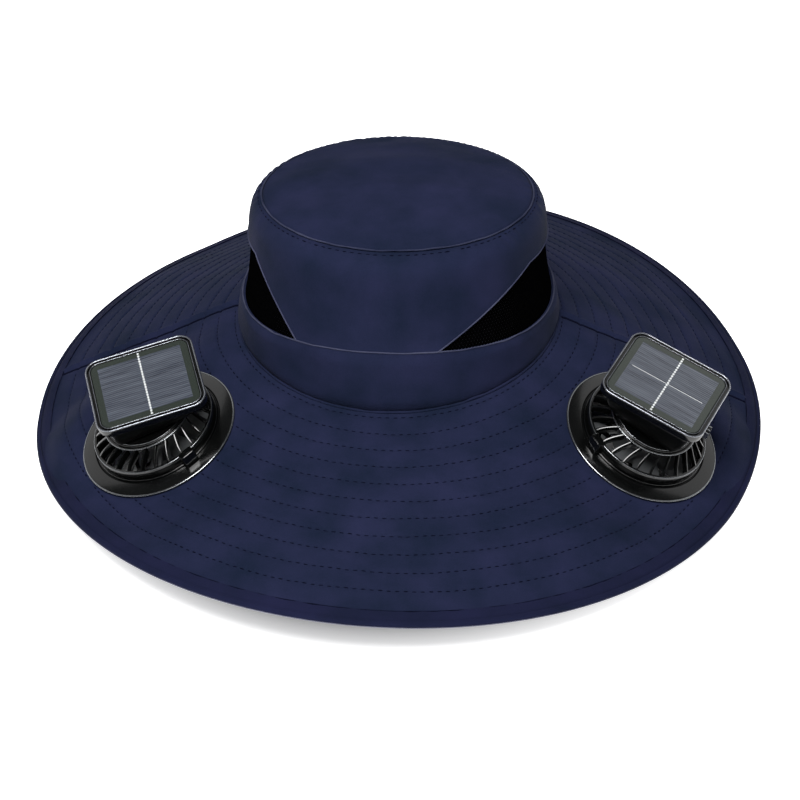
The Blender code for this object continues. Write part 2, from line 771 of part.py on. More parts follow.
def make_panel(side):
    """The solar panel: a shallow tray with the cell's glass let into it."""
    place = panel_matrix(side)
    inner_length = PANEL_LENGTH - 2 * PANEL_BORDER
    inner_width = PANEL_WIDTH - 2 * PANEL_BORDER
    inner_corner = PANEL_CORNER - PANEL_BORDER
    outer = rounded_outline(PANEL_LENGTH, PANEL_WIDTH, PANEL_CORNER, CORNER_STEPS)
    frame = slab("panel_frame_" + side, outer, -PANEL_THICKNESS, 0, black_plastic())
    edge = frame.modifiers.new("Edge", "BEVEL")
    edge.width = PANEL_BEVEL
    edge.segments = 1
    edge.limit_method = "ANGLE"
    edge.angle_limit = math.radians(60)
    recess = rounded_outline(inner_length, inner_width, inner_corner, CORNER_STEPS - 1)
    depth = CELL_THICKNESS + 2 * GAP
    cutter = hide_cutter(slab("recess_" + side, recess, -depth, CUTTER_OVERLAP, None, CUTTERS))
    cut(frame, cutter)
    size = (inner_length - 2 * GAP, inner_width - 2 * GAP, inner_corner - GAP)
    glass = rounded_outline(*size, CORNER_STEPS - 1)
    cell = slab("solar_cell_" + side, glass, GAP - depth, -GAP, solar_glass())
    items = [frame, cutter, cell]
    for item in items:
        item.matrix_local = place
    return items


def make_fan(side):
    frame = bpy.data.objects.new("fan_axis_" + side, None)
    PARTS.objects.link(frame)
    frame.matrix_world = fan_matrix(side)
    items = make_flange(side) + make_cage(side) + make_guard(side)
    items += make_impeller(side) + make_housing(side) + make_panel(side)
    attach(items, frame)


clear_scene()
PARTS = new_collection("solar_fan_hat")
CUTTERS = new_collection("cutters")
make_brim()
make_binding()
make_band()
make_wall()
make_windows()
make_top()
for fan_side in FANS:
    make_fan(fan_side)
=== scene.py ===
import math

import bpy
import numpy as np
from mathutils import Matrix


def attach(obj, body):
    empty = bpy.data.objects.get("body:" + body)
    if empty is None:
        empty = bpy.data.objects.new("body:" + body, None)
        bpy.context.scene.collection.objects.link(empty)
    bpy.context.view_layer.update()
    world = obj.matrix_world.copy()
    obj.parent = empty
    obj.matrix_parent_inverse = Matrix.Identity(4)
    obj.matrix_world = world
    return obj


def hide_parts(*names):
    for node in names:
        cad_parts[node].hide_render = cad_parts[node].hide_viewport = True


# The hat's looks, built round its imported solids. Lengths are in metres, +Z is up and the wearer
# faces -Y. An azimuth is measured round the crown from the front towards +X, in radians.

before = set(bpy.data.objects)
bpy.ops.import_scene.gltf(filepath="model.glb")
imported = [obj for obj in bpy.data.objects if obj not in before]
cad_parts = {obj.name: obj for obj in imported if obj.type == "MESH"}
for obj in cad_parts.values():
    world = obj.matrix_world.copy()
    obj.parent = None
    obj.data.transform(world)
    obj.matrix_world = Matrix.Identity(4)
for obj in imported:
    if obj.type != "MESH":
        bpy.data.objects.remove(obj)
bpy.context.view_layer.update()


# The brim
# Two flat-cut halves of navy polyester cloth over a stiffener, sewn together at the sides and
# quilted by rows of lockstitch that run parallel to its seam with the crown.

QUARTER = math.pi / 2
SEAM_HEIGHT = 0.0605
SEAM_HALF_WIDTH, SEAM_HALF_DEPTH, SEAM_DIP = 0.0907, 0.1015, 0.0039
CROWN_BACK = 0.0034
BRIM_HALF_WIDTH, BRIM_HALF_DEPTH, BRIM_WIDEST = 0.2100, 0.2320, 0.0040
BRIM_DROP, BRIM_NOD, BRIM_SADDLE, BRIM_TWIST = 0.0517, 0.0050, 0.0098, 0.0043
BRIM_CLOTH = 0.0020
BINDING_WIDTH, BINDING_HEIGHT = 0.0034, 0.0032
REST_BLEND = 0.0007
FLAT_INNER, FLAT_OUTER = 0.0455, 0.0900
FANS = {
    "left": {"azimuth": -53.8, "share": 0.505, "tangent": 1.7, "radius": -7.5},
    "right": {"azimuth": 64.3, "share": 0.525, "tangent": -0.4, "radius": 5.5},
}
HOLE_RADIUS = 0.0385
SLOPE = 0.136
STITCH_ROWS, FIRST_ROW, ROW_PITCH = 11, 0.024, 0.0822
QUILT_RISE, GROOVE_DEPTH, GROOVE_HALF = 0.00012, 0.00034, 0.00085
PUCKER_RISE, PUCKER_LENGTH = 0.00005, 0.0072
BRIM_WAVE, BRIM_WAVE_LENGTH = 0.00040, 0.060
RIDGE_RISE, RIDGE_PLACE, RIDGE_HALF = 0.0020, 0.0032, 0.0016
SEAM_ROLL, ROLL_HALF = 0.0005, 0.0013
GATHER_SWING, GATHER_WAVE = 0.6, 0.012
PUCKER_SWING, PUCKER_WAVE, PUCKER_HALF = 2.5, 0.03, 0.0032
PRESS_START, PRESS_END = (0, 0.11), (0.89, 1)
WAVE_START, WAVE_END = (0.02, 0.10), (0.86, 0.95)
QUILT_START, RIDGE_END, FAN_EASE = (0, 0.012), (0.90, 0.95), (0.0445, 0.0485)
SEAM_GAP, BINDING_GAP, FIRST_SHARE, PAST_ROWS = 0.0001, 0.0003, 0.006, 0.91
HOLE_SNAP, CUT_ALLOWANCE = 0.004, 1.02
NAVY_DEEP = (0.0056, 0.0092, 0.0215)
NAVY_PALE = (0.0134, 0.0156, 0.0410)


def oval(azimuth, half_width, half_depth, height, centre_y=0.0):
    """Points of an oval: half_width times the sine, and centre_y less half_depth times the cosine."""
    x = half_width * np.sin(azimuth)
    y = centre_y - half_depth * np.cos(azimuth)
    return np.stack([x, y, height + 0 * azimuth], axis=-1)


def seam_line(azimuth):
    """The brim seam: an oval, lower by the square of the cosine at front and back."""
    height = SEAM_HEIGHT - SEAM_DIP * np.cos(azimuth) ** 2
    return oval(azimuth, SEAM_HALF_WIDTH, SEAM_HALF_DEPTH, height, CROWN_BACK)


def settle(height, floor, blend):
    """Height raised to the floor where it is below it, by a parabola within one blend of it."""
    over = height - floor
    eased = (over + blend) ** 2 / (4 * blend)
    return floor + np.where(over < -blend, 0.0, np.where(over > blend, over, eased))


def rim_line(azimuth):
    """The outer edge: an oval whose height swings once and twice in a turn, settled on the table."""
    drop = BRIM_DROP - BRIM_NOD * np.cos(azimuth)
    wave = BRIM_SADDLE * np.cos(2 * azimuth) - BRIM_TWIST * np.sin(2 * azimuth)
    height = settle(SEAM_HEIGHT - drop + wave, BINDING_HEIGHT / 2, REST_BLEND)
    x = BRIM_HALF_WIDTH * np.sin(azimuth)
    y = BRIM_WIDEST * np.sin(azimuth) ** 2 - BRIM_HALF_DEPTH * np.cos(azimuth)
    return np.stack([x, y, height], axis=-1)


def ruled_brim(azimuth, share):
    """Straight from the brim seam, share 0, to the rim, share 1."""
    share = np.asarray(share)[..., None]
    return seam_line(azimuth) * (1 - share) + rim_line(azimuth) * share


def unit(vectors):
    """Vectors divided by their lengths."""
    return vectors / np.linalg.norm(vectors, axis=-1)[..., None]


def surface_normal(surface, azimuth, share, step=1e-3):
    """Outward normal: the surface's change with azimuth crossed with its change towards the top."""
    across = surface(azimuth + step, share) - surface(azimuth - step, share)
    inward = surface(azimuth, share - step) - surface(azimuth, share + step)
    return unit(np.cross(across, inward))


def fan_place(row):
    """Middle of a fan unit on the brim, and its outward, sideways and upward directions."""
    azimuth = np.array(math.radians(row["azimuth"]))
    share = np.array(row["share"])
    radial = np.array([math.sin(azimuth), -math.cos(azimuth), 0.0])
    tangent = np.array([math.cos(azimuth), math.sin(azimuth), 0.0])
    turn = tangent * math.radians(row["tangent"]) + radial * math.radians(row["radius"])
    angle = np.linalg.norm(turn)
    axis = turn / angle
    up = surface_normal(ruled_brim, azimuth, share)
    swung = up * math.cos(angle) + np.cross(axis, up) * math.sin(angle)
    up = swung + axis * (axis @ up) * (1 - math.cos(angle))
    out = unit(radial - up * (radial @ up))
    return ruled_brim(azimuth, share), out, np.cross(up, out), up


PLACES = {side: fan_place(row) for side, row in FANS.items()}


def smooth_step(low, high, value):
    """0 below low, 1 above high, and three squares less two cubes between them."""
    ratio = np.clip((value - low) / (high - low), 0, 1)
    return ratio * ratio * (3 - 2 * ratio)


def bell(value, half):
    """1 where value is 0, and down by the exponential of the square of value over half."""
    return np.exp(-((value / half) ** 2))


def from_axis(points, side):
    """Distance of points from a fan unit's axis, and their height above its foot."""
    middle, _, _, up = PLACES[side]
    offset = points - middle
    height = offset @ up
    return np.linalg.norm(offset - height[..., None] * up, axis=-1), height


def brim_surface(azimuth, share):
    """The ruled brim, pressed flat under each fan unit and easing out to the seam and the rim."""
    points = ruled_brim(azimuth, share)
    free = smooth_step(*PRESS_START, share) * (1 - smooth_step(*PRESS_END, share))
    for side, (_, _, _, up) in PLACES.items():
        radius, height = from_axis(points, side)
        ease = 1 - smooth_step(FLAT_INNER, FLAT_OUTER, radius)
        points = points - (ease * free * height)[..., None] * up
    return points


def ripple(points, wavelength, seed, waves=10):
    """Soft unevenness: a sum of sine waves that run in seeded directions through space."""
    draw = np.random.default_rng(seed)
    heading = unit(draw.normal(size=(waves, 3))) * draw.uniform(0.6, 1.6, (waves, 1))
    phase = draw.uniform(0, math.tau, waves)
    return np.sin(points @ heading.T * math.tau / wavelength + phase).sum(-1) / math.sqrt(waves)


def grid_faces(rows, columns, round_rows=False, round_columns=False):
    """Quads of a grid of points, which may join its last row or column to its first."""
    index = np.arange(rows * columns).reshape(rows, columns)
    if round_rows:
        index = np.concatenate([index, index[:1]], axis=0)
    if round_columns:
        index = np.concatenate([index, index[:, :1]], axis=1)
    corners = [index[:-1, :-1], index[:-1, 1:], index[1:, 1:], index[1:, :-1]]
    return np.stack([corner.ravel() for corner in corners], axis=1)


def lone_edges(faces):
    """Edges that only one face has, in that face's direction."""
    ends = [np.stack([part, np.roll(part, -1, axis=1)], axis=-1).reshape(-1, 2) for part in faces]
    ends = np.concatenate(ends)
    _, index, count = np.unique(np.sort(ends, axis=1), axis=0, return_inverse=True, return_counts=True)
    return ends[count[index.ravel()] == 1]


def thickened(points, normals, faces, thickness):
    """A closed wall: the surface, its copy moved inwards along the normals, and their edges joined."""
    count = len(points)
    edges = lone_edges(faces)
    strip = np.stack([edges[:, 1], edges[:, 0], edges[:, 0] + count, edges[:, 1] + count], axis=1)
    inner = [part[:, ::-1] + count for part in faces]
    return np.concatenate([points, points - normals * thickness]), [*faces, *inner, strip]


def add_object(name, data):
    """An object in the scene that shows a mesh, a light or a camera."""
    made = bpy.data.objects.new(name, data)
    bpy.context.scene.collection.objects.link(made)
    return made


def piece(name, points, faces, finish, slot, body="hat", uv=None, replaces=(), sharp=45):
    """One object from arrays of points and faces, riding on a body, without its unused points."""
    used = np.unique(np.concatenate([part.ravel() for part in faces]))
    renumber = np.zeros(len(points), int)
    renumber[used] = np.arange(len(used))
    faces = [renumber[part] for part in faces]
    mesh = bpy.data.meshes.new(name)
    mesh.from_pydata(points[used].tolist(), [], [row for part in faces for row in part.tolist()])
    if uv is not None:
        layer = mesh.uv_layers.new(name="UVMap")
        corners = np.concatenate([part.ravel() for part in faces])
        layer.uv.foreach_set("vector", uv[used][corners].astype(np.float32).ravel())
    mesh.shade_smooth()
    mesh.set_sharp_from_angle(angle=math.radians(sharp))
    mesh.materials.append(finish)
    made = add_object(name, mesh)
    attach(made, body)
    if replaces:
        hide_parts(*replaces)
    return made


class Nodes:
    """A material's node tree, with short calls for the nodes that the finishes share."""

    def __init__(self, name):
        self.material = bpy.data.materials.new(name)
        self.material.use_nodes = True
        self.tree = self.material.node_tree
        self.shader = self.tree.nodes["Principled BSDF"]

    def add(self, kind, **settings):
        node = self.tree.nodes.new(kind)
        for key, value in settings.items():
            setattr(node, key, value)
        return node

    def link(self, output, node, socket):
        self.tree.links.new(output, node.inputs[socket])
        return node

    def set(self, **values):
        """Constants on the shader's own sockets, named with underscores for spaces."""
        for key, value in values.items():
            self.shader.inputs[key.replace("_", " ")].default_value = value

    def maths(self, operation, first, second=None):
        node = self.add("ShaderNodeMath", operation=operation)
        for socket, value in enumerate((first, second)):
            if value is None:
                continue
            if isinstance(value, (int, float)):
                node.inputs[socket].default_value = value
            else:
                self.link(value, node, socket)
        return node.outputs[0]

    def coordinates(self, kind):
        return self.add("ShaderNodeTexCoord").outputs[kind]

    def scaled(self, kind, factors):
        """Coordinates, each multiplied by its own factor."""
        node = self.add("ShaderNodeVectorMath", operation="MULTIPLY")
        self.link(self.coordinates(kind), node, 0)
        node.inputs[1].default_value = factors
        return node.outputs["Vector"]

    def noise(self, scale, detail=3.0, place=None):
        node = self.add("ShaderNodeTexNoise")
        node.inputs["Scale"].default_value = scale
        node.inputs["Detail"].default_value = detail
        self.link(self.coordinates("Object") if place is None else place, node, "Vector")
        return node.outputs["Fac"]

    def blend(self, factor, low, high, start=0.3, end=0.7):
        """A colour that goes from low to high as the factor goes from start to end."""
        node = self.add("ShaderNodeValToRGB")
        stops = node.color_ramp.elements
        stops[0].position, stops[1].position = start, end
        stops[0].color, stops[1].color = (*low, 1), (*high, 1)
        self.link(factor, node, "Fac")
        return node.outputs["Color"]

    def spread(self, factor, low, high, start=0.0, end=1.0):
        """A number that goes from low to high as the factor goes from start to end."""
        node = self.add("ShaderNodeMapRange")
        values = {"From Min": start, "From Max": end, "To Min": low, "To Max": high}
        for key, value in values.items():
            node.inputs[key].default_value = value
        self.link(factor, node, "Value")
        return node.outputs["Result"]

    def mix(self, factor, low, high):
        """The low colour where the factor is 0, and the high one where it is 1."""
        node = self.add("ShaderNodeMix", data_type="RGBA")
        self.link(factor, node, "Factor")
        for socket, value in ((6, low), (7, high)):
            if isinstance(value, tuple):
                node.inputs[socket].default_value = (*value, 1)
            else:
                self.link(value, node, socket)
        return node.outputs[2]

    def bump(self, height, distance, strength, under=None):
        node = self.add("ShaderNodeBump")
        node.inputs["Strength"].default_value = strength
        node.inputs["Distance"].default_value = distance
        self.link(height, node, "Height")
        if under is not None:
            self.link(under, node, "Normal")
        return node.outputs["Normal"]


def grained(name, low, high, grain, fine_grain, depth, strength, **values):
    """A finish of one grainy colour, with a finer grain raised on it."""
    made = Nodes(name)
    made.link(made.blend(made.noise(grain), low, high), made.shader, "Base Color")
    made.link(made.bump(made.noise(fine_grain), depth, strength), made.shader, "Normal")
    made.set(**values)
    return made.material


WEAVE_PITCH, WEAVE_DEPTH = 0.00055, 0.00006
CLOUDS, MOTTLE, MOTTLE_SHARE, WEAR = 38.0, 1400.0, 0.25, 60.0
CRUMPLE, CRUMPLE_DEPTH, CRUMPLE_STRENGTH, YARN_STRENGTH = 160.0, 0.0006, 0.30, 0.55
CLOTH_ROUGHNESS = (0.74, 0.90)


def navy_cloth(name, low, high):
    """Woven polyester: crossed sine waves for the yarns, cloudy colour, and a faint slub."""
    made = Nodes(name)
    cloudy = made.maths("MULTIPLY", made.noise(CLOUDS, 5.0), 1 - MOTTLE_SHARE)
    mottled = made.maths("MULTIPLY", made.noise(MOTTLE, 2.0), MOTTLE_SHARE)
    colour = made.blend(made.maths("ADD", cloudy, mottled), low, high)
    made.link(colour, made.shader, "Base Color")
    across = made.add("ShaderNodeSeparateXYZ")
    made.link(made.scaled("UV", [math.tau / WEAVE_PITCH] * 3), across, "Vector")
    warp, weft = (made.maths("SINE", across.outputs[axis]) for axis in "XY")
    weave = made.maths("ADD", made.maths("MULTIPLY", warp, weft), 1.0)
    yarns = made.bump(made.maths("MULTIPLY", weave, 0.5), WEAVE_DEPTH, YARN_STRENGTH)
    crumple = made.bump(made.noise(CRUMPLE, 4.0), CRUMPLE_DEPTH, CRUMPLE_STRENGTH, yarns)
    made.link(crumple, made.shader, "Normal")
    made.link(made.spread(made.noise(WEAR), *CLOTH_ROUGHNESS), made.shader, "Roughness")
    made.set(Sheen_Weight=0.01, Sheen_Roughness=0.45, Specular_IOR_Level=0.02)
    return made.material


CLOTH = navy_cloth("navy_cloth", NAVY_DEEP, NAVY_PALE)

SEAM_STEPS = np.array([0.0, 0.0004, 0.0008, 0.0012, 0.0017, 0.0022, 0.0027, 0.0033, 0.0041, 0.0052])
GROOVE_STEPS = np.array([-0.0044, -0.0025, -0.0013, -0.0006, 0.0, 0.0006, 0.0013, 0.0025, 0.0044])
BRIM_COLUMNS = 240


def row_shares():
    return FIRST_ROW + ROW_PITCH * np.arange(STITCH_ROWS)


def side_radius(share):
    """Distance of the brim's side seam from the hat's middle."""
    return SEAM_HALF_WIDTH * (1 - share) + BRIM_HALF_WIDTH * share


def half_brim_grid(start, end):
    """Azimuths and shares of a half: finer beside each side seam and at each row of stitches."""
    edge = SEAM_GAP / SLOPE
    outer = 1 - (BINDING_WIDTH + BINDING_GAP) / SLOPE
    near_rows = (row_shares()[:, None] + GROOVE_STEPS / SLOPE).ravel()
    shares = np.concatenate([[edge, FIRST_SHARE], near_rows, np.linspace(PAST_ROWS, outer, 5)])
    share = np.sort(shares[shares >= edge])[::-1][:, None]
    near = SEAM_STEPS / side_radius(share)
    middle = np.linspace(0, 1, BRIM_COLUMNS)
    first, last = start + near[:, -1:], end - near[:, -1:]
    between = first + (last - first) * middle
    azimuth = np.concatenate([start + near[:, :-1], between, end - near[:, -2::-1]], axis=1)
    return azimuth, np.broadcast_to(share, azimuth.shape)


def brim_relief(points, azimuth, share):
    """Height of the quilting: it puffs up between rows, sinks at a row, and rolls down at a seam.
    The back half has a ridge beside each side seam, where its allowance is folded under."""
    step = (share - FIRST_ROW) / ROW_PITCH
    inside = (step > 0) & (step < STITCH_ROWS - 1)
    across = np.abs(2 * (step - np.floor(step)) - 1)
    quilt = np.where(inside, QUILT_RISE * (1 - across**3), 0)
    nearest = np.clip(np.round(step), 0, STITCH_ROWS - 1)
    off_row = (step - nearest) * ROW_PITCH * SLOPE
    gather = 1 + GATHER_SWING * ripple(points, GATHER_WAVE, seed=3)
    groove = -GROOVE_DEPTH * gather * bell(off_row, GROOVE_HALF)
    run = azimuth * side_radius(share)
    swing = PUCKER_SWING * ripple(points, PUCKER_WAVE, seed=4)
    pucker = np.sin(math.tau * run / PUCKER_LENGTH + swing)
    pucker = PUCKER_RISE * pucker * bell(off_row, PUCKER_HALF)
    wave = BRIM_WAVE * ripple(points, BRIM_WAVE_LENGTH, seed=5)
    clear = smooth_step(*WAVE_START, share) * (1 - smooth_step(*WAVE_END, share))
    relief = (quilt + groove + pucker) * smooth_step(*QUILT_START, share) + wave * clear
    for side in FANS:
        relief *= smooth_step(*FAN_EASE, from_axis(points, side)[0])
    to_seam = np.abs(azimuth % math.pi - QUARTER) * side_radius(share)
    roll = -SEAM_ROLL * bell(to_seam, ROLL_HALF)
    ridge = RIDGE_RISE * bell(to_seam - RIDGE_PLACE, RIDGE_HALF)
    return relief + roll + ridge * (np.cos(azimuth) < 0) * (1 - smooth_step(*RIDGE_END, share))


def quilted_brim(azimuth, share):
    """Points of the brim's upper face: its surface raised along its normal by the relief."""
    flat = brim_surface(azimuth, share)
    normal = surface_normal(brim_surface, azimuth, share)
    return flat + normal * brim_relief(flat, azimuth, share)[..., None], normal


def make_half_brim(name, start, end):
    azimuth, share = half_brim_grid(start, end)
    points, normal = quilted_brim(azimuth, share)
    quads = grid_faces(*share.shape)
    points, normal = points.reshape(-1, 3), normal.reshape(-1, 3)
    for side, (middle, _, _, up) in PLACES.items():
        radius, height = from_axis(points, side)
        quads = quads[radius[quads].mean(axis=1) > HOLE_RADIUS]
        hole = np.zeros(len(points), bool)
        hole[lone_edges([quads]).ravel()] = True
        hole &= radius < HOLE_RADIUS + HOLE_SNAP
        foot = middle + height[:, None] * up
        snapped = foot + (points - foot) * (HOLE_RADIUS / np.maximum(radius, 1e-6))[:, None]
        points = np.where(hole[:, None], snapped, points)
    uv = np.concatenate([points[:, :2], points[:, :2]])
    walls, faces = thickened(points, normal, [quads], BRIM_CLOTH)
    made = piece(name + "_cloth", walls, faces, CLOTH, "navy_cloth", uv=uv, replaces=[name])


make_half_brim("brim_front", -QUARTER, QUARTER)
make_half_brim("brim_back", QUARTER, 3 * QUARTER)


# The stitches
# Lockstitches of navy thread through the brim, seen above and below, in rows that stop at the fan
# flanges and the side seams. Each side seam has a dark cord of thread at its bottom, a painted
# shadow in its fold, and a row of stitches beside it on the back half.

STITCH_PITCH, STITCH_LENGTH, THREAD_RADIUS = 0.0042, 0.0031, 0.00034
STITCH_SINK, STITCH_RISE = 0.00030, 0.00010
STITCH_RINGS = np.array([0.0, 0.3, 0.7, 1.0])
RING_SHARES = np.array([0.45, 1.0, 1.0, 0.45])
THREAD_SIDES, CORD_SIDES, KEPT_SHARE = 4, 8, 0.99
STITCH_TO_AXIS, STITCH_TO_SEAM = 0.0452, 0.0045
SEAM_STITCH_PLACE, SEAM_STITCH_ENDS = 0.0056, (0.03, 0.92)
SIDE_SEAM_RADIUS, SIDE_SEAM_ENDS = 0.0008, (0.02, 0.93)
# The thread is darker than the cloth: painted shade of the dips the stitches pull into it.
THREAD_NAVY_SHADED, THREAD_WORN_SHADED = (0.0008, 0.0013, 0.0060), (0.0022, 0.0032, 0.0125)
THREAD_LOOK = {"Roughness": 0.80, "Specular_IOR_Level": 0.04}
SHADED_THREAD = grained("navy_thread_painted_shade", THREAD_NAVY_SHADED, THREAD_WORN_SHADED, 300.0, 4000.0, 0.0001, 0.5, **THREAD_LOOK)


def stitches_along(points, normals, keep, offset=0.0):
    """Short capsules laid end to end along a line: four-sided rings on an arc that rises from the
    cloth and sinks back into it. keep says where on the line stitches may lie."""
    run = np.concatenate([[0], np.cumsum(np.linalg.norm(np.diff(points, axis=0), axis=1))])
    starts = np.arange(STITCH_PITCH / 2, run[-1] - STITCH_LENGTH, STITCH_PITCH)
    starts = starts[np.interp(starts + STITCH_LENGTH / 2, run, keep.astype(float)) > KEPT_SHARE]
    along = starts[:, None] + STITCH_RINGS * STITCH_LENGTH
    centre, up = (
        np.stack([np.interp(along, run, values[:, axis]) for axis in range(3)], axis=-1)
        for values in (points, normals)
    )
    arc = 1 - (2 * STITCH_RINGS - 1) ** 2
    centre = centre + up * (arc * (STITCH_SINK + STITCH_RISE) - STITCH_SINK + offset)[:, None]
    ahead = unit(centre[:, -1:] - centre[:, :1])
    side = unit(np.cross(ahead, up))
    angle = math.tau * np.arange(THREAD_SIDES) / THREAD_SIDES
    radius = (THREAD_RADIUS * RING_SHARES)[:, None, None]
    around = np.cos(angle)[:, None] * side[:, :, None] + np.sin(angle)[:, None] * up[:, :, None]
    rings = centre[:, :, None] + radius * around
    per_stitch = len(STITCH_RINGS) * THREAD_SIDES
    first = (np.arange(len(starts)) * per_stitch)[:, None, None]
    walls = grid_faces(len(STITCH_RINGS), THREAD_SIDES, round_columns=True)[:, ::-1]
    ends = np.arange(THREAD_SIDES)
    caps = np.stack([ends, (per_stitch - THREAD_SIDES + ends)[::-1]])
    return rings.reshape(-1, 3), [(part + first).reshape(-1, part.shape[1]) for part in (walls, caps)]


def joined(parts):
    """Several (points, faces) pairs as one, with the faces renumbered."""
    counts = np.cumsum([0] + [len(points) for points, _ in parts])
    faces = [part + start for (_, group), start in zip(parts, counts) for part in group]
    return np.concatenate([points for points, _ in parts]), faces


def tube(path, radius, closed=True):
    """A round cord along a path of points: a ring of points about each, in the plane of the path's
    sideways direction and its normal to that."""
    ahead = np.roll(path, -1, axis=0) - np.roll(path, 1, axis=0)
    if not closed:
        ahead[0], ahead[-1] = path[1] - path[0], path[-1] - path[-2]
    ahead = unit(ahead)
    side = unit(np.cross(ahead, [0.0, 0.0, 1.0]))
    up = np.cross(side, ahead)
    angle = math.tau * np.arange(CORD_SIDES) / CORD_SIDES
    radius = np.broadcast_to(radius, len(path))[:, None, None]
    around = side[:, None] * np.cos(angle)[:, None] + up[:, None] * np.sin(angle)[:, None]
    points = (path[:, None] + radius * around).reshape(-1, 3)
    faces = [grid_faces(len(path), CORD_SIDES, closed, True)]
    if not closed:
        ring = np.arange(CORD_SIDES)
        faces.append(np.stack([ring[::-1], len(points) - CORD_SIDES + ring]))
    return points, faces


ROUND = np.linspace(-QUARTER, 3 * QUARTER, 2400)
SIDE_SEAMS = (-QUARTER, QUARTER)


def brim_stitch_row(share, below):
    """One row round the whole brim, on its upper face or its under face."""
    points, normals = quilted_brim(ROUND, np.full_like(ROUND, share))
    to_seam = np.minimum((ROUND + QUARTER) % math.pi, (QUARTER - ROUND) % math.pi)
    keep = to_seam * side_radius(share) > STITCH_TO_SEAM
    for side in FANS:
        keep &= from_axis(points, side)[0] > STITCH_TO_AXIS
    if below:
        return stitches_along(points - normals * BRIM_CLOTH, -normals, keep)
    return stitches_along(points, normals, keep)


def seam_stitch_row(azimuth):
    """A row beside one side seam, on the back half."""
    share = np.linspace(*SEAM_STITCH_ENDS, 600)
    behind = math.copysign(1, azimuth) * SEAM_STITCH_PLACE / side_radius(share)
    return stitches_along(*quilted_brim(azimuth + behind, share), np.ones(len(share), bool))


def side_seam_shadow_line(azimuth):
    """A dark cord at the bottom of one side seam: painted shadow in the seam's fold."""
    share = np.linspace(*SIDE_SEAM_ENDS, 300)
    return tube(quilted_brim(np.full_like(share, azimuth), share)[0], SIDE_SEAM_RADIUS, closed=False)


def sew(name, parts):
    """One piece of thread from several (points, faces) pairs."""
    piece(name, *joined(parts), SHADED_THREAD, "navy_cloth")


sew("brim_stitches_upper", [brim_stitch_row(share, below=False) for share in row_shares()])
sew("brim_stitches_under", [brim_stitch_row(share, below=True) for share in row_shares()])
sew("side_seam_shadow_lines", [side_seam_shadow_line(azimuth) for azimuth in SIDE_SEAMS])
sew("side_seam_stitches", [seam_stitch_row(azimuth) for azimuth in SIDE_SEAMS])


# The bound edge
# A tape of the same cloth folded over the brim's raw edge, with a hard corded bead at its fold, a
# dark cord of thread along its inner edge, a stitch line darkened as painted shade of the crease
# there, and a pale line low round the bead, a painted highlight. The bead's lowest stretches, at
# the hat's sides, lie flat on the table.

TAPE_REACH, TAPE_CLOTH, TAPE_RISE, TAPE_MIDDLE = 0.0085, 0.00045, 0.0002, 0.0085 * 0.6
TAPE_GAP, TAPE_FOLD, TAPE_KINK, KINK_WAVE = 0.0001, 0.0036, 0.00012, 0.010
NECK_ABOVE, NECK_BELOW = ((0.0031, 0.0), (0.0026, -0.0002)), (0.0034, 0.0003)
BEAD_RADIUS, BEAD_ARC = 0.0016, (62, 285)
EDGE_NAVY_DEEP, EDGE_NAVY_PALE = (0.0058, 0.0078, 0.0200), (0.0100, 0.0110, 0.0330)
EDGE_CLOTH = navy_cloth("edge_cloth", EDGE_NAVY_DEEP, EDGE_NAVY_PALE)
EDGE_COLUMNS, RIM_RADIUS = 540, 0.22
EDGE_CORD, RIM_HIGHLIGHT_IN, RIM_HIGHLIGHT_DROP = 0.00030, 0.00029, 0.00090
EDGE_SWING, EDGE_SWING_WAVE = 0.2, 0.006
# Colours of a painted highlight low round the bead.
RIM_HIGHLIGHT_PALE, RIM_HIGHLIGHT_BRIGHT = (0.090, 0.092, 0.125), (0.170, 0.172, 0.215)
RIM_HIGHLIGHT_CLOTH = navy_cloth("rim_painted_highlight", RIM_HIGHLIGHT_PALE, RIM_HIGHLIGHT_BRIGHT)


def arc_points(centre, radius, start, end, count):
    """Points of an arc from start to end, in degrees, about a centre."""
    angle = np.radians(np.linspace(start, end, count))
    return np.stack([centre[0] + radius * np.cos(angle), centre[1] + radius * np.sin(angle)], axis=-1)


def edge_profile():
    """The tape's folded section, as (distance in from the rim, height over the brim's upper face):
    its outer skin round the bead, then its inner skin back inside the fold."""
    top, bottom = TAPE_RISE + TAPE_CLOTH, -BRIM_CLOTH - TAPE_GAP
    end_radius = TAPE_CLOTH / 2
    bead = arc_points((BEAD_RADIUS, 0), BEAD_RADIUS, *BEAD_ARC, 22)
    upper_end = arc_points((TAPE_REACH, top - end_radius), end_radius, -90, 90, 6)
    lower_end = arc_points((TAPE_REACH, bottom - end_radius), end_radius, -90, 90, 6)
    outer_top = np.array([(TAPE_MIDDLE, top), *((away, top + lift) for away, lift in NECK_ABOVE)])
    neck, neck_lift = NECK_BELOW
    outer_low = np.array([(neck, bottom + neck_lift), (TAPE_MIDDLE, bottom - TAPE_CLOTH)])
    inner_skin = np.array([(TAPE_MIDDLE, bottom), (TAPE_FOLD, bottom), (TAPE_FOLD, TAPE_RISE)])
    return np.concatenate([upper_end, outer_top, bead, outer_low, lower_end, inner_skin])


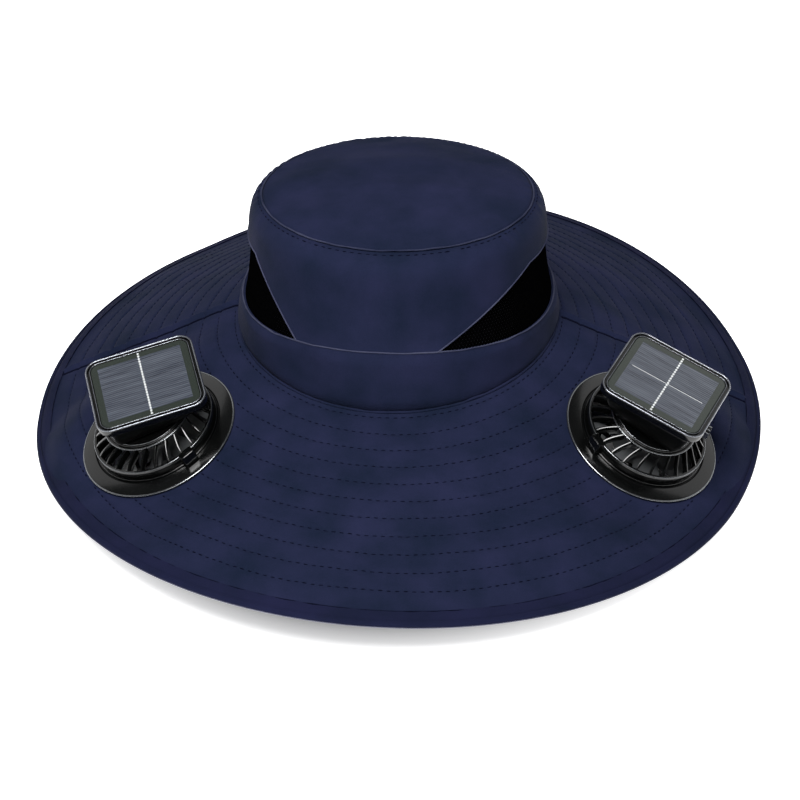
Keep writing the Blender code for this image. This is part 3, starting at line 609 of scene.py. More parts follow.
def make_edge():
    azimuth = np.linspace(0, math.tau, EDGE_COLUMNS, endpoint=False)
    edge = rim_line(azimuth)
    inward = (seam_line(azimuth) - edge) * [1, 1, 0]
    slope = (seam_line(azimuth) - edge)[:, 2] / np.linalg.norm(inward, axis=1)
    inward = unit(inward)
    profile = edge_profile()
    kink = TAPE_KINK * ripple(edge, KINK_WAVE, seed=8)
    away = profile[:, 0:1]
    lift = profile[:, 1:2] + slope * away * smooth_step(BEAD_RADIUS, 2 * BEAD_RADIUS, away)
    slack = kink * smooth_step(BEAD_RADIUS, TAPE_REACH, away)
    points = edge + inward * away[..., None] + (lift + slack)[..., None] * [0, 0, 1]
    points[..., 2] = np.maximum(points[..., 2], 0)
    run = np.concatenate([[0], np.cumsum(np.linalg.norm(np.diff(profile, axis=0), axis=1))])
    uv = np.stack(np.broadcast_arrays(azimuth * RIM_RADIUS, run[:, None]), axis=-1).reshape(-1, 2)
    points, quads = points.reshape(-1, 3), grid_faces(len(profile), EDGE_COLUMNS, True, True)
    slot = "edge_binding"
    piece("bound_edge", points, [quads], EDGE_CLOTH, slot, uv=uv, replaces=["brim_binding"])
    # A dark cord of thread along the tape's inner edge: a stitch line, darkened as painted shade of the
    # crease there.
    top = slope * TAPE_REACH + TAPE_RISE + TAPE_CLOTH / 2
    path = edge + inward * TAPE_REACH + np.maximum(top, 0)[:, None] * [0, 0, 1]
    swing = 1 + EDGE_SWING * ripple(path, EDGE_SWING_WAVE, seed=9)
    sew("edge_stitching_and_crease_shade", [tube(path, EDGE_CORD * swing)])
    # A pale cord low round the bead: a painted highlight of its edge.
    path = edge + inward * RIM_HIGHLIGHT_IN - [0, 0, RIM_HIGHLIGHT_DROP]
    path[:, 2] = np.maximum(path[:, 2], EDGE_CORD)
    piece("rim_highlight_line", *tube(path, EDGE_CORD), RIM_HIGHLIGHT_CLOTH, slot)


make_edge()


# The crown's band
# A plain strip of the brim's cloth round the foot of the crown. Its lower edge turns in at the
# brim seam, and a narrow piped seam joins its upper edge to the wall and the windows.

BAND_RISE, BAND_FRONT_RISE = 0.0160, 0.0128
BAND_HALF_WIDTH, BAND_HALF_DEPTH = 0.0880, 0.0940
CROWN_CLOTH = 0.0014
CROWN_WAVE, CROWN_WAVE_LENGTH = 0.00050, 0.050
WELT_RADIUS, WELT_LIFT, PIPING_RADIUS = 0.00075, 0.0004, 0.00042
# The piping is paler than the cloth: painted highlight of light catching the seams' edges.
PIPING_HIGHLIGHT_DEEP, PIPING_HIGHLIGHT_PALE = (0.020, 0.023, 0.048), (0.052, 0.056, 0.092)
PIPING_HIGHLIGHT = navy_cloth("piping_painted_highlight", PIPING_HIGHLIGHT_DEEP, PIPING_HIGHLIGHT_PALE)
CROWN_COLUMNS, CROWN_RADIUS, CORD_WEAVE = 360, 0.09, 0.0006
BAND_STEPS = [0.003, 0.02, 0.05, 0.10, *np.linspace(0.18, 0.82, 12), 0.90, 0.95, 0.98, 0.997]
BAND_BULGE, BAND_TUCK, TUCK_START = 0.0012, 0.0010, 0.93
BULGE_START, BULGE_END = (0, 0.2), (0.8, 1)
CORD_STRAY, STRAY_WAVE, CORD_SWING, SWING_WAVE = 0.00018, 0.016, 0.12, 0.009


def band_top(azimuth):
    """The seam over the band: an oval, higher by the square of the cosine at front and back."""
    height = SEAM_HEIGHT + BAND_RISE + BAND_FRONT_RISE * np.cos(azimuth) ** 2
    return oval(azimuth, BAND_HALF_WIDTH, BAND_HALF_DEPTH, height, CROWN_BACK)


def band_surface(azimuth, share):
    """Straight from the seam over the band, share 0, down to the brim seam, share 1."""
    share = np.asarray(share)[..., None]
    return band_top(azimuth) * (1 - share) + seam_line(azimuth) * share


def crown_piece(name, replaced, flat, normal, relief, quads, uv):
    """Cloth raised from its plain surface along the normal by the relief, and thickened inwards."""
    points = (flat + normal * relief[..., None]).reshape(-1, 3)
    walls, faces = thickened(points, normal.reshape(-1, 3), [quads], CROWN_CLOTH)
    uv = np.tile(np.stack(uv, axis=-1).reshape(-1, 2), (2, 1))
    return piece(name, walls, faces, CLOTH, "navy_cloth", uv=uv, replaces=[replaced])


def make_band():
    azimuth = np.linspace(0, math.tau, CROWN_COLUMNS, endpoint=False)
    azimuth, share = np.broadcast_arrays(azimuth, np.array(BAND_STEPS)[::-1, None])
    flat = band_surface(azimuth, share)
    normal = surface_normal(band_surface, azimuth, share)
    body = smooth_step(*BULGE_START, share) * (1 - smooth_step(*BULGE_END, share))
    relief = body * (BAND_BULGE + CROWN_WAVE * ripple(flat, CROWN_WAVE_LENGTH, seed=11))
    relief -= BAND_TUCK * smooth_step(TUCK_START, 1.0, share)
    quads = grid_faces(*share.shape, round_columns=True)
    uv = (azimuth * CROWN_RADIUS, flat[..., 2])
    made = crown_piece("band_cloth", "crown_band", flat, normal, relief, quads, uv)


def make_cord(name, path, radius, azimuth, finish, closed=True):
    """A cord of cloth along a path, with its weave laid along it."""
    points, faces = tube(path, radius, closed)
    weave = np.arange(CORD_SIDES) * CORD_WEAVE
    uv = np.stack(np.broadcast_arrays(azimuth[:, None] * CROWN_RADIUS, weave), -1).reshape(-1, 2)
    piece(name, points, faces, finish, "navy_cloth", uv=uv)


def make_seam_cord(name, line, radius, finish, seed, lift=0.0):
    """A cord of cloth along a closed seam, a little uneven."""
    azimuth = np.linspace(0, math.tau, 720, endpoint=False)
    path = line(azimuth) + [0, 0, lift]
    path = path + CORD_STRAY * ripple(path, STRAY_WAVE, seed)[:, None] * [0, 0, 1]
    swing = 1 + CORD_SWING * ripple(path, SWING_WAVE, seed + 1)
    make_cord(name, path, radius * swing, azimuth, finish)


make_band()
make_seam_cord("brim_seam_welt", seam_line, WELT_RADIUS, CLOTH, seed=21, lift=WELT_LIFT)
make_seam_cord("band_piping", band_top, PIPING_RADIUS, PIPING_HIGHLIGHT, seed=23)


# The crown's wall
# A front and a back panel that turn over a soft shoulder to the top seam, where the cloth is
# gathered a little. Each side has a long low window cut out of it, edged with thin piping.

TIP_RISE, TIP_HALF_WIDTH, TIP_HALF_DEPTH = 0.0758, 0.0749, 0.0750
TIP_TILT = math.radians(3.0)
WALL_LEAN, WALL_BEND, SHOULDER_BEND = 0.42, 2.2, 12
WINDOW_SHARE = 0.62
WINDOWS = {
    "left": {"front": -33.0, "top_front": -63.0, "top_back": -112.0, "back": -142.0},
    "right": {"front": 19.0, "top_front": 63.5, "top_back": 112.0, "back": 142.0},
}
WALL_SPANS = {"crown_front": (-88, 91), "crown_back": (91, 272)}
WALL_PITCH, WALL_TOP, END_GAP, END_STEPS = 0.75, 0.997, 0.2, np.array([0.02, 0.1])
WALL_STEPS = np.concatenate([np.linspace(0, 0.8, 26), np.linspace(0.82, 1, 22)])[:, None]
FOLD_SWING, FOLD_WAVE, BUNCHES, BUNCH_WAVE = 3.0, 0.05, (-0.6, 1.2), 0.04
EASE, TIP_EASE = 0.12, 0.0012
SIDE_DIP, SIDE_HALF = 0.0007, 0.0010
WINDOW_GAP, PIPING_IN, PIPING_LIFT = 0.006, 0.003, 0.0001
GATHER_RISE, GATHER_LENGTH, GATHER_REACH = 0.00045, 0.0085, 0.0065
TIP_ROLL, TIP_ROLL_HALF = 0.0011, 0.0012
WALL_LENGTH = 0.060


def tip_line(azimuth):
    """The top seam: an oval tilted down towards the back."""
    points = oval(azimuth, TIP_HALF_WIDTH, TIP_HALF_DEPTH, SEAM_HEIGHT + TIP_RISE)
    points[..., 2] -= points[..., 1] * math.tan(TIP_TILT)
    points[..., 1] += CROWN_BACK
    return points


def wall_surface(azimuth, share):
    """From the band, share 0, over a shoulder that bends late and hard, to the top seam, share 1."""
    share = np.asarray(share)[..., None]
    inset = WALL_LEAN * (1 - (1 - share) ** WALL_BEND) + (1 - WALL_LEAN) * share**SHOULDER_BEND
    low, high = band_top(azimuth), tip_line(azimuth)
    points = low * (1 - inset) + high * inset
    points[..., 2:] = low[..., 2:] * (1 - share) + high[..., 2:] * share
    return points


def wall_normal(azimuth, share):
    return -surface_normal(wall_surface, azimuth, np.clip(share, 2e-3, 1 - 2e-3))


def window_share(azimuth):
    """Height of the windows at each azimuth. Their ends rise evenly with the size of the sine, so
    they look straight from the front and from the back."""
    height = np.zeros_like(azimuth)
    for row in WINDOWS.values():
        across = math.copysign(1, row["front"]) * np.sin(azimuth)
        for end, facing in (("front", 1), ("back", -1)):
            start, full = (abs(math.sin(math.radians(row[key]))) for key in (end, "top_" + end))
            rise = WINDOW_SHARE * np.clip((across - start) / (full - start), 0, 1)
            height = np.where(facing * np.cos(azimuth) > 0, np.maximum(height, rise), height)
    return height


def gathers(points, seed):
    """Small folds that run away from the top seam: sine waves bunched here and there."""
    run = np.arctan2(points[..., 0], CROWN_BACK - points[..., 1]) * TIP_HALF_WIDTH
    fold = np.sin(math.tau * run / GATHER_LENGTH + FOLD_SWING * ripple(points, FOLD_WAVE, seed))
    return GATHER_RISE * fold * smooth_step(*BUNCHES, ripple(points, BUNCH_WAVE, seed + 1))


def wall_columns(start, end):
    """Azimuths of a panel: even steps, the windows' corners, and two near each end."""
    corners = [row[key] for row in WINDOWS.values() for key in row]
    every = np.concatenate([np.arange(-360, 361, WALL_PITCH), corners, np.add(corners, 360)])
    inside = every[(every > start + END_GAP) & (every < end - END_GAP)]
    ends = np.concatenate([start + END_STEPS, end - END_STEPS])
    return np.radians(np.unique(np.round(np.concatenate([ends, inside]), 4)))


def make_wall(name, start, end):
    azimuth = wall_columns(start, end)
    low = window_share(azimuth) + WINDOW_GAP
    share = low + WALL_STEPS * (WALL_TOP - low)
    azimuth = np.broadcast_to(azimuth, share.shape)
    flat = wall_surface(azimuth, share)
    normal = wall_normal(azimuth, share)
    over = (1 - share) * WALL_LENGTH
    near_window = smooth_step(0, EASE, share - window_share(azimuth))
    wave = CROWN_WAVE * ripple(flat, CROWN_WAVE_LENGTH, seed=12)
    relief = wave * near_window * smooth_step(0, EASE, over)
    relief += gathers(flat, 31) * bell(over, GATHER_REACH) * smooth_step(0, TIP_EASE, over)
    relief -= TIP_ROLL * bell(over, TIP_ROLL_HALF)
    to_side = np.minimum(azimuth - math.radians(start), math.radians(end) - azimuth)
    relief -= SIDE_DIP * bell(to_side * BAND_HALF_WIDTH, SIDE_HALF)
    quads = grid_faces(*share.shape)
    uv = (azimuth * BAND_HALF_WIDTH, share * WALL_LENGTH)
    made = crown_piece(name + "_cloth", name, flat, normal, relief, quads, uv)


def make_window_piping(side, row):
    """A thin cord round one window: up its front edge, over its top and down its back."""
    span = np.radians(np.linspace(row["front"], row["back"], 260))
    upper = wall_surface(span, window_share(span) + PIPING_IN)
    path = upper + wall_normal(span, window_share(span)) * PIPING_LIFT
    make_cord("window_piping_" + side, path, PIPING_RADIUS, span, PIPING_HIGHLIGHT, closed=False)


for name, (start, end) in WALL_SPANS.items():
    make_wall(name, start, end)
for side, row in WINDOWS.items():
    make_window_piping(side, row)


# The windows
# Knitted black net with six-sided holes, sewn in behind the edges of the wall and the band.

NET_PITCH, NET_HOLE, NET_CLOTH = 0.0020, 0.26, 0.00035
NET_DEPTH, NET_MARGIN, NET_SPARE = 0.0016, 0.0022, 1.3
NET_BLACK, NET_GREY = (0.0004, 0.0004, 0.0005), (0.0012, 0.0012, 0.0014)
NET_LOOK = {"Roughness": 0.85, "Specular_IOR_Level": 0.0}
NET = grained("black_net", NET_BLACK, NET_GREY, 700.0, 3000.0, 0.0001, 0.6, **NET_LOOK)


def make_net(side, row):
    """A honeycomb of flat rings, six quads each, laid on the wall and thickened inwards."""
    radius = BAND_HALF_WIDTH
    start, end = sorted((math.radians(row["front"]), math.radians(row["back"])))
    rows = np.arange(-2, int(WINDOW_SHARE * WALL_LENGTH / NET_PITCH * NET_SPARE) + 3)
    columns = np.arange(int((end - start) * radius / NET_PITCH) + 1)
    row_index, column_index = np.meshgrid(rows, columns, indexing="ij")
    run = start * radius + (column_index + 0.5 * (row_index % 2)) * NET_PITCH
    rise = row_index * NET_PITCH * math.sqrt(3) / 2
    inside = rise < window_share(run / radius) * WALL_LENGTH + NET_MARGIN
    centre = np.stack([run[inside], rise[inside]], axis=-1)
    angle = math.tau * np.arange(6) / 6 + math.pi / 6
    spoke = np.stack([np.cos(angle), np.sin(angle)], axis=-1) * NET_PITCH / math.sqrt(3)
    rings = np.stack([centre[:, None] + spoke, centre[:, None] + spoke * NET_HOLE], axis=1)
    flat, index = np.unique(np.round(rings.reshape(-1, 2), 7), axis=0, return_inverse=True)
    index = index.reshape(len(centre), 2, 6)
    after = np.roll(index, -1, axis=2)
    quads = np.stack([index[:, 0], after[:, 0], after[:, 1], index[:, 1]], axis=-1).reshape(-1, 4)
    azimuth, share = flat[:, 0] / radius, flat[:, 1] / WALL_LENGTH
    normal = wall_normal(azimuth, share)
    points = wall_surface(azimuth, np.maximum(share, 0)) - normal * NET_DEPTH
    points[:, 2] += np.minimum(flat[:, 1], 0)
    walls, faces = thickened(points, normal, [quads], NET_CLOTH)
    piece("net_" + side, walls, faces, NET, "black_mesh", replaces=["mesh_" + side])


for side, row in WINDOWS.items():
    make_net(side, row)


# The crown's top
# A round of the same cloth, domed by the head, and joined to the wall in a welted seam with a row
# of stitches just below it.

DOME_RISE, DOME_EASE = 0.0094, 0.012
TOP_COLUMNS = 300
TOP_STEPS = [0.998, 0.99, 0.98, 0.97, 0.955, 0.94, 0.92, 0.89, *np.linspace(0.86, 0.02, 40)]
TOP_GATHER, TOP_ROLL_HALF = 0.7, 0.0009
TOP_STITCH_SHARE, TOP_STITCH_LIFT = 0.974, -0.00022
TOP_WELT_RADIUS, TOP_WELT_LIFT = 0.00048, -0.0003
# The top welt is paler than the cloth: painted highlight of light catching the seam.
WELT_HIGHLIGHT_DEEP, WELT_HIGHLIGHT_PALE = (0.010, 0.013, 0.032), (0.040, 0.044, 0.076)
TOP_WELT_HIGHLIGHT = navy_cloth("welt_painted_highlight", WELT_HIGHLIGHT_DEEP, WELT_HIGHLIGHT_PALE)


def top_surface(azimuth, share):
    """From the top seam, share 1, up to the middle, share 0: a line to the middle and a parabola."""
    share = np.asarray(share)[..., None]
    middle = tip_line(np.array([0.0, math.pi])).mean(axis=0)
    points = middle * (1 - share) + tip_line(azimuth) * share
    points[..., 2:] += DOME_RISE * (1 - share**2)
    return points


def make_top():
    azimuth = np.linspace(0, math.tau, TOP_COLUMNS, endpoint=False)
    azimuth, share = np.broadcast_arrays(azimuth, np.array(TOP_STEPS)[:, None])
    flat = top_surface(azimuth, share)
    normal = surface_normal(top_surface, azimuth, share)
    over = (1 - share) * TIP_HALF_WIDTH
    relief = CROWN_WAVE * ripple(flat, CROWN_WAVE_LENGTH, seed=14) * smooth_step(0, DOME_EASE, over)
    folds = TOP_GATHER * gathers(flat, 41)
    relief += folds * bell(over, GATHER_REACH) * smooth_step(0, TIP_EASE, over)
    relief -= TIP_ROLL * bell(over, TOP_ROLL_HALF)
    points = (flat + normal * relief[..., None]).reshape(-1, 3)
    normal = normal.reshape(-1, 3)
    quads = grid_faces(*share.shape, round_columns=True)
    middle = points[-TOP_COLUMNS:].mean(axis=0)
    last = len(points) - TOP_COLUMNS + np.arange(TOP_COLUMNS)
    fan = np.stack([last, np.roll(last, -1), np.full(TOP_COLUMNS, len(points))], axis=1)
    points = np.concatenate([points, middle[None]])
    normal = np.concatenate([normal, [[0.0, 0.0, 1.0]]])
    walls, faces = thickened(points, normal, [quads, fan], CROWN_CLOTH)
    uv = walls[:, :2]
    made = piece("top_cloth", walls, faces, CLOTH, "navy_cloth", uv=uv, replaces=["crown_top"])


def make_top_stitches():
    share = np.full_like(ROUND, TOP_STITCH_SHARE)
    line = wall_surface(ROUND, share), wall_normal(ROUND, share), np.ones(len(ROUND), bool)
    sew("top_seam_stitches", [stitches_along(*line, TOP_STITCH_LIFT)])


make_top()
make_seam_cord("top_seam_welt", tip_line, TOP_WELT_RADIUS, TOP_WELT_HIGHLIGHT, seed=27, lift=TOP_WELT_LIFT)
make_top_stitches()


# The fan units
# Two moulded units of glossy black plastic. Each has a flange that clamps the brim against a nut
# below, a slotted cage over the blades with a latch to hold it, and thin pale metallic beads on its
# rings' edges, which are painted highlights.

FLANGE_RADIUS, FLANGE_HEIGHT, FLANGE_EDGE = 0.0440, 0.0028, 0.0010
BARREL_RADIUS, BARREL_WALL, BARREL_DEPTH = 0.0346, 0.0020, 0.0130
BARREL_INNER = BARREL_RADIUS - BARREL_WALL
FACE_INNER, SEAT_HEIGHT = 0.0357, 0.0040
CAGE_HEIGHT, HUB_HEIGHT, HUB_RADIUS = 0.0094, 0.0175, 0.0245
GAP = 0.0003
SOFT_EDGE, FINE_EDGE = 0.0004, 0.0003
TURN_STEPS = 144
FLANGE_PROFILE = [
    (BARREL_INNER, -BARREL_DEPTH),
    (BARREL_RADIUS, -BARREL_DEPTH),
    (BARREL_RADIUS, GAP),
    (FLANGE_RADIUS, GAP),
    (FLANGE_RADIUS, FLANGE_EDGE),
    (FLANGE_RADIUS - 0.0007, FLANGE_EDGE + 0.0006),
    (FACE_INNER + 0.0006, FLANGE_HEIGHT + 0.0003),
    (FACE_INNER, FLANGE_HEIGHT - 0.0006),
    (FACE_INNER - 0.0004, FLANGE_HEIGHT - 0.0006),
    (FACE_INNER - 0.0006, SEAT_HEIGHT - GAP),
    (BARREL_INNER, SEAT_HEIGHT - GAP),
]
RING_PROFILE = [
    (BARREL_INNER, SEAT_HEIGHT),
    (BARREL_RADIUS, SEAT_HEIGHT),
    (BARREL_RADIUS, CAGE_HEIGHT - 0.0016),
    (BARREL_RADIUS - 0.0007, CAGE_HEIGHT - 0.0004),
    (BARREL_INNER, CAGE_HEIGHT - 0.0004),
]
HUB_PROFILE = [
    (0.0118, HUB_HEIGHT - 0.0019),
    (HUB_RADIUS - 0.0012, HUB_HEIGHT - 0.0019),
    (HUB_RADIUS + 0.0004, HUB_HEIGHT - 0.0012),
    (HUB_RADIUS, HUB_HEIGHT - 0.0002),
    (HUB_RADIUS - 0.0010, HUB_HEIGHT - 0.0002),
    (HUB_RADIUS - 0.0012, HUB_HEIGHT - 0.0006),
    (HUB_RADIUS - 0.0015, HUB_HEIGHT),
    (0.0118, HUB_HEIGHT),
]
VANES, VANE_WIDTH, VANE_DEPTH, VANE_SWEEP, VANE_BEND = 26, 0.00125, 0.0046, math.radians(9.0), 0.9
VANE_FOOT, VANE_FOOT_HEIGHT = 0.0340, CAGE_HEIGHT - 0.0010
VANE_HEAD, VANE_HEAD_HEIGHT = HUB_RADIUS - 0.0008, HUB_HEIGHT - 0.0012
BEADS = {
    "flange": (FLANGE_RADIUS - 0.0004, FLANGE_EDGE + 0.0002, 0.00055),
    "lower ring": (BARREL_RADIUS - 0.0006, CAGE_HEIGHT - 0.0005, 0.00030),
    "hub ring": (HUB_RADIUS + 0.0002, HUB_HEIGHT - 0.0008, 0.00030),
    "hub face": (HUB_RADIUS - 0.0024, HUB_HEIGHT, 0.00022),
}
TABS = {"left": 95.0, "right": 243.0}
TAB_INNER, TAB_OUTER, TAB_HALF_WIDTH, TAB_TOP, TAB_CORNER = 0.0335, 0.0385, 0.0042, 0.0108, 0.0014
TAB_LEVELS = [
    (1.0, SEAT_HEIGHT - 0.0012),
    (1.0, TAB_TOP - 0.0010),
    (0.93, TAB_TOP - 0.0002),
    (0.80, TAB_TOP),
]
PLASTIC_BLACK, PLASTIC_WORN = (0.0008, 0.0009, 0.0009), (0.0020, 0.0022, 0.0022)
# Pale metallic beads: painted highlights of the rings' edges.
BEAD_HIGHLIGHT_GREY, BEAD_HIGHLIGHT_PALE = (0.16, 0.17, 0.18), (0.28, 0.29, 0.30)
PLASTIC_CLOUDS, PLASTIC_GLOSS, PLASTIC_PEEL, PEEL_DEPTH = 40.0, 220.0, 420.0, 0.00003


def glossy_plastic(name, low, high, rough=0.16, metallic=0.0, shine=0.5):
    """Injection-moulded plastic: near black, with a faint orange-peel skin and uneven gloss."""
    made = Nodes(name)
    made.link(made.blend(made.noise(PLASTIC_CLOUDS), low, high), made.shader, "Base Color")
    gloss = made.spread(made.noise(PLASTIC_GLOSS, 4.0), rough * 0.8, rough * 1.3)
    made.link(gloss, made.shader, "Roughness")
    made.link(made.bump(made.noise(PLASTIC_PEEL, 2.0), PEEL_DEPTH, 0.25), made.shader, "Normal")
    made.set(Specular_IOR_Level=shine, Coat_Weight=0.3 * shine, Coat_Roughness=0.05, Metallic=metallic)
    return made.material


PLASTIC = glossy_plastic("black_plastic", PLASTIC_BLACK, PLASTIC_WORN)
HIGHLIGHT_BEAD_PLASTIC = glossy_plastic("bead_painted_highlight", BEAD_HIGHLIGHT_GREY, BEAD_HIGHLIGHT_PALE, 0.16, 0.9)


def oblong(left, low, right, high):
    """The four corners of an upright oblong."""
    return [(left, low), (right, low), (right, high), (left, high)]


def softened(corners, radius, steps=5):
    """A closed outline whose corners are parabolas that start and end a radius away from them."""
    corners = np.asarray(corners, float)
    before = np.roll(corners, 1, axis=0) - corners
    after = np.roll(corners, -1, axis=0) - corners
    lengths = [np.linalg.norm(side, axis=1) for side in (before, after)]
    starts, ends = (
        corners + side * (np.minimum(radius, length * 0.49) / length)[:, None]
        for side, length in zip((before, after), lengths)
    )
    t = np.linspace(0, 1, steps)[:, None]
    curve = starts[:, None] * (1 - t) ** 2 + 2 * corners[:, None] * t * (1 - t) + ends[:, None] * t**2
    return curve.reshape(-1, 2)


def turned(profile, steps=TURN_STEPS):
    """A closed (radius, height) outline carried round the axis: x is radius times the cosine of the
    angle and y radius times its sine."""
    angle = math.tau * np.arange(steps) / steps
    radius, height = profile[:, :1], profile[:, 1:]
    points = np.broadcast_arrays(radius * np.cos(angle), radius * np.sin(angle), height)
    return np.stack(points, axis=-1).reshape(-1, 3), [grid_faces(len(profile), steps, True, True)]


def capped(rows):
    """Rings of points one above another, with a fan of triangles to the middle of the first ring
    and of the last."""
    count, around = rows.shape[:2]
    middles = rows[[0, -1]].mean(axis=1)
    points = np.concatenate([rows.reshape(-1, 3), middles])
    first = np.arange(around)
    last = first + (count - 1) * around
    low = np.stack([np.roll(first, -1), first, np.full(around, count * around)], axis=1)
    high = np.stack([last, np.roll(last, -1), np.full(around, count * around + 1)], axis=1)
    return points, [grid_faces(count, around, round_columns=True), low, high]


def on_brim(side, parts):
    """(points, faces) of a fan unit's own frame, moved to where that unit sits."""
    points, faces = joined(parts)
    middle, out, sideways, up = PLACES[side]
    return points @ np.stack([out, sideways, up]) + middle, faces


def fan_piece(kind, side, parts, finish=PLASTIC, slot="black_plastic", sharp=38, **more):
    """A piece of one fan unit, from parts in that unit's own frame."""
    piece(kind + "_" + side, *on_brim(side, parts), finish, slot, sharp=sharp, **more)


def vanes():
    """Curved vanes of the cage: a rounded bar that leans in from the lower ring to the hub, swept
    round the axis by the square of its run, and repeated round the axis."""
    run = np.linspace(0, 1, 14)
    radius = VANE_FOOT + (VANE_HEAD - VANE_FOOT) * run
    height = VANE_FOOT_HEIGHT + (VANE_HEAD_HEIGHT - VANE_FOOT_HEIGHT) * run**VANE_BEND
    half_width, half_depth = VANE_WIDTH / 2, VANE_DEPTH / 2
    section = softened(oblong(-half_width, -half_depth, half_width, half_depth), SOFT_EDGE, 3)
    angle = math.tau * np.arange(VANES)[:, None] / VANES + VANE_SWEEP * (run**2 - 0.5)
    x, y = np.cos(angle), np.sin(angle)
    centre = np.stack([radius * x, radius * y, height - half_depth + 0 * angle], axis=-1)
    side = np.stack([-y, x, 0 * x], axis=-1)
    rings = centre[:, :, None] + side[:, :, None] * section[:, :1]
    rings = rings + section[:, 1:] * np.array([0, 0, 1.0])
    return joined([capped(group[::-1]) for group in rings])


def rotation(axis, angle):
    """A turn about one of the axes, as a matrix for columns of points."""
    first, second = ((1, 2), (2, 0), (0, 1))["xyz".index(axis)]
    matrix = np.eye(3)
    matrix[first, first] = matrix[second, second] = math.cos(angle)
    matrix[first, second], matrix[second, first] = -math.sin(angle), math.sin(angle)
    return matrix


def tab(angle):
    """A latch over the cage's lower ring: a rounded block, drawn in at its top, turned to its place."""
    corners = oblong(TAB_INNER, -TAB_HALF_WIDTH, TAB_OUTER, TAB_HALF_WIDTH)
    flat = softened(corners, TAB_CORNER)
    middle = flat.mean(axis=0)
    rings = [
        np.column_stack([middle + (flat - middle) * scale, np.full(len(flat), height)])
        for scale, height in TAB_LEVELS
    ]
    return capped(np.stack(rings) @ rotation("z", math.radians(angle)).T)


def make_fan_rings(side):
    """The flange, the cage with its vanes, the beads on their edges and the latch."""
    flange = turned(softened(FLANGE_PROFILE, SOFT_EDGE))
    fan_piece("flange", side, [flange], replaces=["fan_flange_" + side])
    ring, hub = turned(softened(RING_PROFILE, SOFT_EDGE)), turned(softened(HUB_PROFILE, FINE_EDGE))
    fan_piece("cage", side, [ring, hub, vanes()], replaces=["fan_cage_" + side])
    # The beads' pale metallic finish is a painted highlight along the rings' edges.
    beads = [turned(arc_points(row[:2], row[2], 0, 324, 10)) for row in BEADS.values()]
    fan_piece("beads", side, beads, HIGHLIGHT_BEAD_PLASTIC, sharp=80)
    fan_piece("latch", side, [tab(TABS[side])])


for side in FANS:
    make_fan_rings(side)


# The guards
# Under the brim, the threaded nut that clamps it and a spoked guard that keeps fingers and hair
# off the blades.

NUT_RADIUS, NUT_HEIGHT, GUARD_WALL, GUARD_SPOKES = 0.0415, 0.0032, 0.0016, 6
NUT_TOP, GUARD_FLOOR = -BRIM_CLOTH - GAP, -BARREL_DEPTH - GAP
GUARD_LOW, GUARD_INNER = GUARD_FLOOR - GUARD_WALL, BARREL_RADIUS + GAP
GUARD_PROFILE = [
    (BARREL_INNER, GUARD_LOW),
    (GUARD_INNER + GUARD_WALL, GUARD_LOW),
    (GUARD_INNER + GUARD_WALL, NUT_TOP - NUT_HEIGHT),
    (NUT_RADIUS, NUT_TOP - NUT_HEIGHT),
    (NUT_RADIUS, NUT_TOP),
    (GUARD_INNER, NUT_TOP),
    (GUARD_INNER, GUARD_FLOOR),
    (BARREL_INNER, GUARD_FLOOR),
]
GUARD_RINGS = ((0.0046, 0.0083), (0.0184, 0.0204))
SPOKE_START, SPOKE_SINK, SPOKE_HALF = 0.0075, 0.0006, 0.0010


def make_guard(side):
    parts = [turned(softened(GUARD_PROFILE, SOFT_EDGE))]
    for inner, end in GUARD_RINGS:
        parts.append(turned(softened(oblong(inner, GUARD_LOW, end, GUARD_FLOOR), FINE_EDGE)))
    half = GUARD_WALL / 2
    section = softened(oblong(-SPOKE_HALF, -half, SPOKE_HALF, half), SOFT_EDGE, 4)
    run = np.linspace(SPOKE_START, BARREL_INNER + SPOKE_SINK, 8)
    for turn in math.tau * np.arange(GUARD_SPOKES) / GUARD_SPOKES:
        out = np.array([math.cos(turn), math.sin(turn), 0])
        across = np.array([-math.sin(turn), math.cos(turn), 0])
        rings = run[:, None, None] * out + section[:, :1] * across
        rings = rings + (GUARD_FLOOR - half + section[:, 1:]) * np.array([0, 0, 1.0])
        parts.append(capped(rings))
    fan_piece("guard", side, parts, replaces=["fan_guard_" + side])


for side in FANS:
    make_guard(side)


# The impellers
# Seven twisted blades on a hub, moulded in grey plastic. Each spins on its motor's shaft.

BLADES, BLADE_RADIUS, BLADE_THICKNESS, BLADE_CHORD = 7, 0.0300, 0.0013, 0.0135
BLADE_SINK, BLADE_CAMBER, BLADE_ENDS, CHORD_SHARES = 0.0012, 0.0009, 1.02, (0.86, 0.14)
IMPELLER_HUB, IMPELLER_DEPTH, IMPELLER_BORE, MOTOR_BOTTOM = 0.0130, 0.0130, 0.0015, 0.0050
IMPELLER_TOP = MOTOR_BOTTOM - 4 * GAP
ROOT_PITCH, TIP_PITCH = math.radians(40.0), math.radians(27.0)
HUB_OUTLINE = [
    (IMPELLER_BORE, IMPELLER_TOP - IMPELLER_DEPTH),
    (IMPELLER_HUB, IMPELLER_TOP - IMPELLER_DEPTH),
    (IMPELLER_HUB, IMPELLER_TOP - 0.0010),
    (IMPELLER_HUB - 0.0010, IMPELLER_TOP),
    (IMPELLER_BORE, IMPELLER_TOP),
]
BLADE_GREY, BLADE_GREY_PALE = (0.060, 0.063, 0.066), (0.090, 0.094, 0.098)
BLADE_PLASTIC = glossy_plastic("grey_plastic", BLADE_GREY, BLADE_GREY_PALE, 0.32)


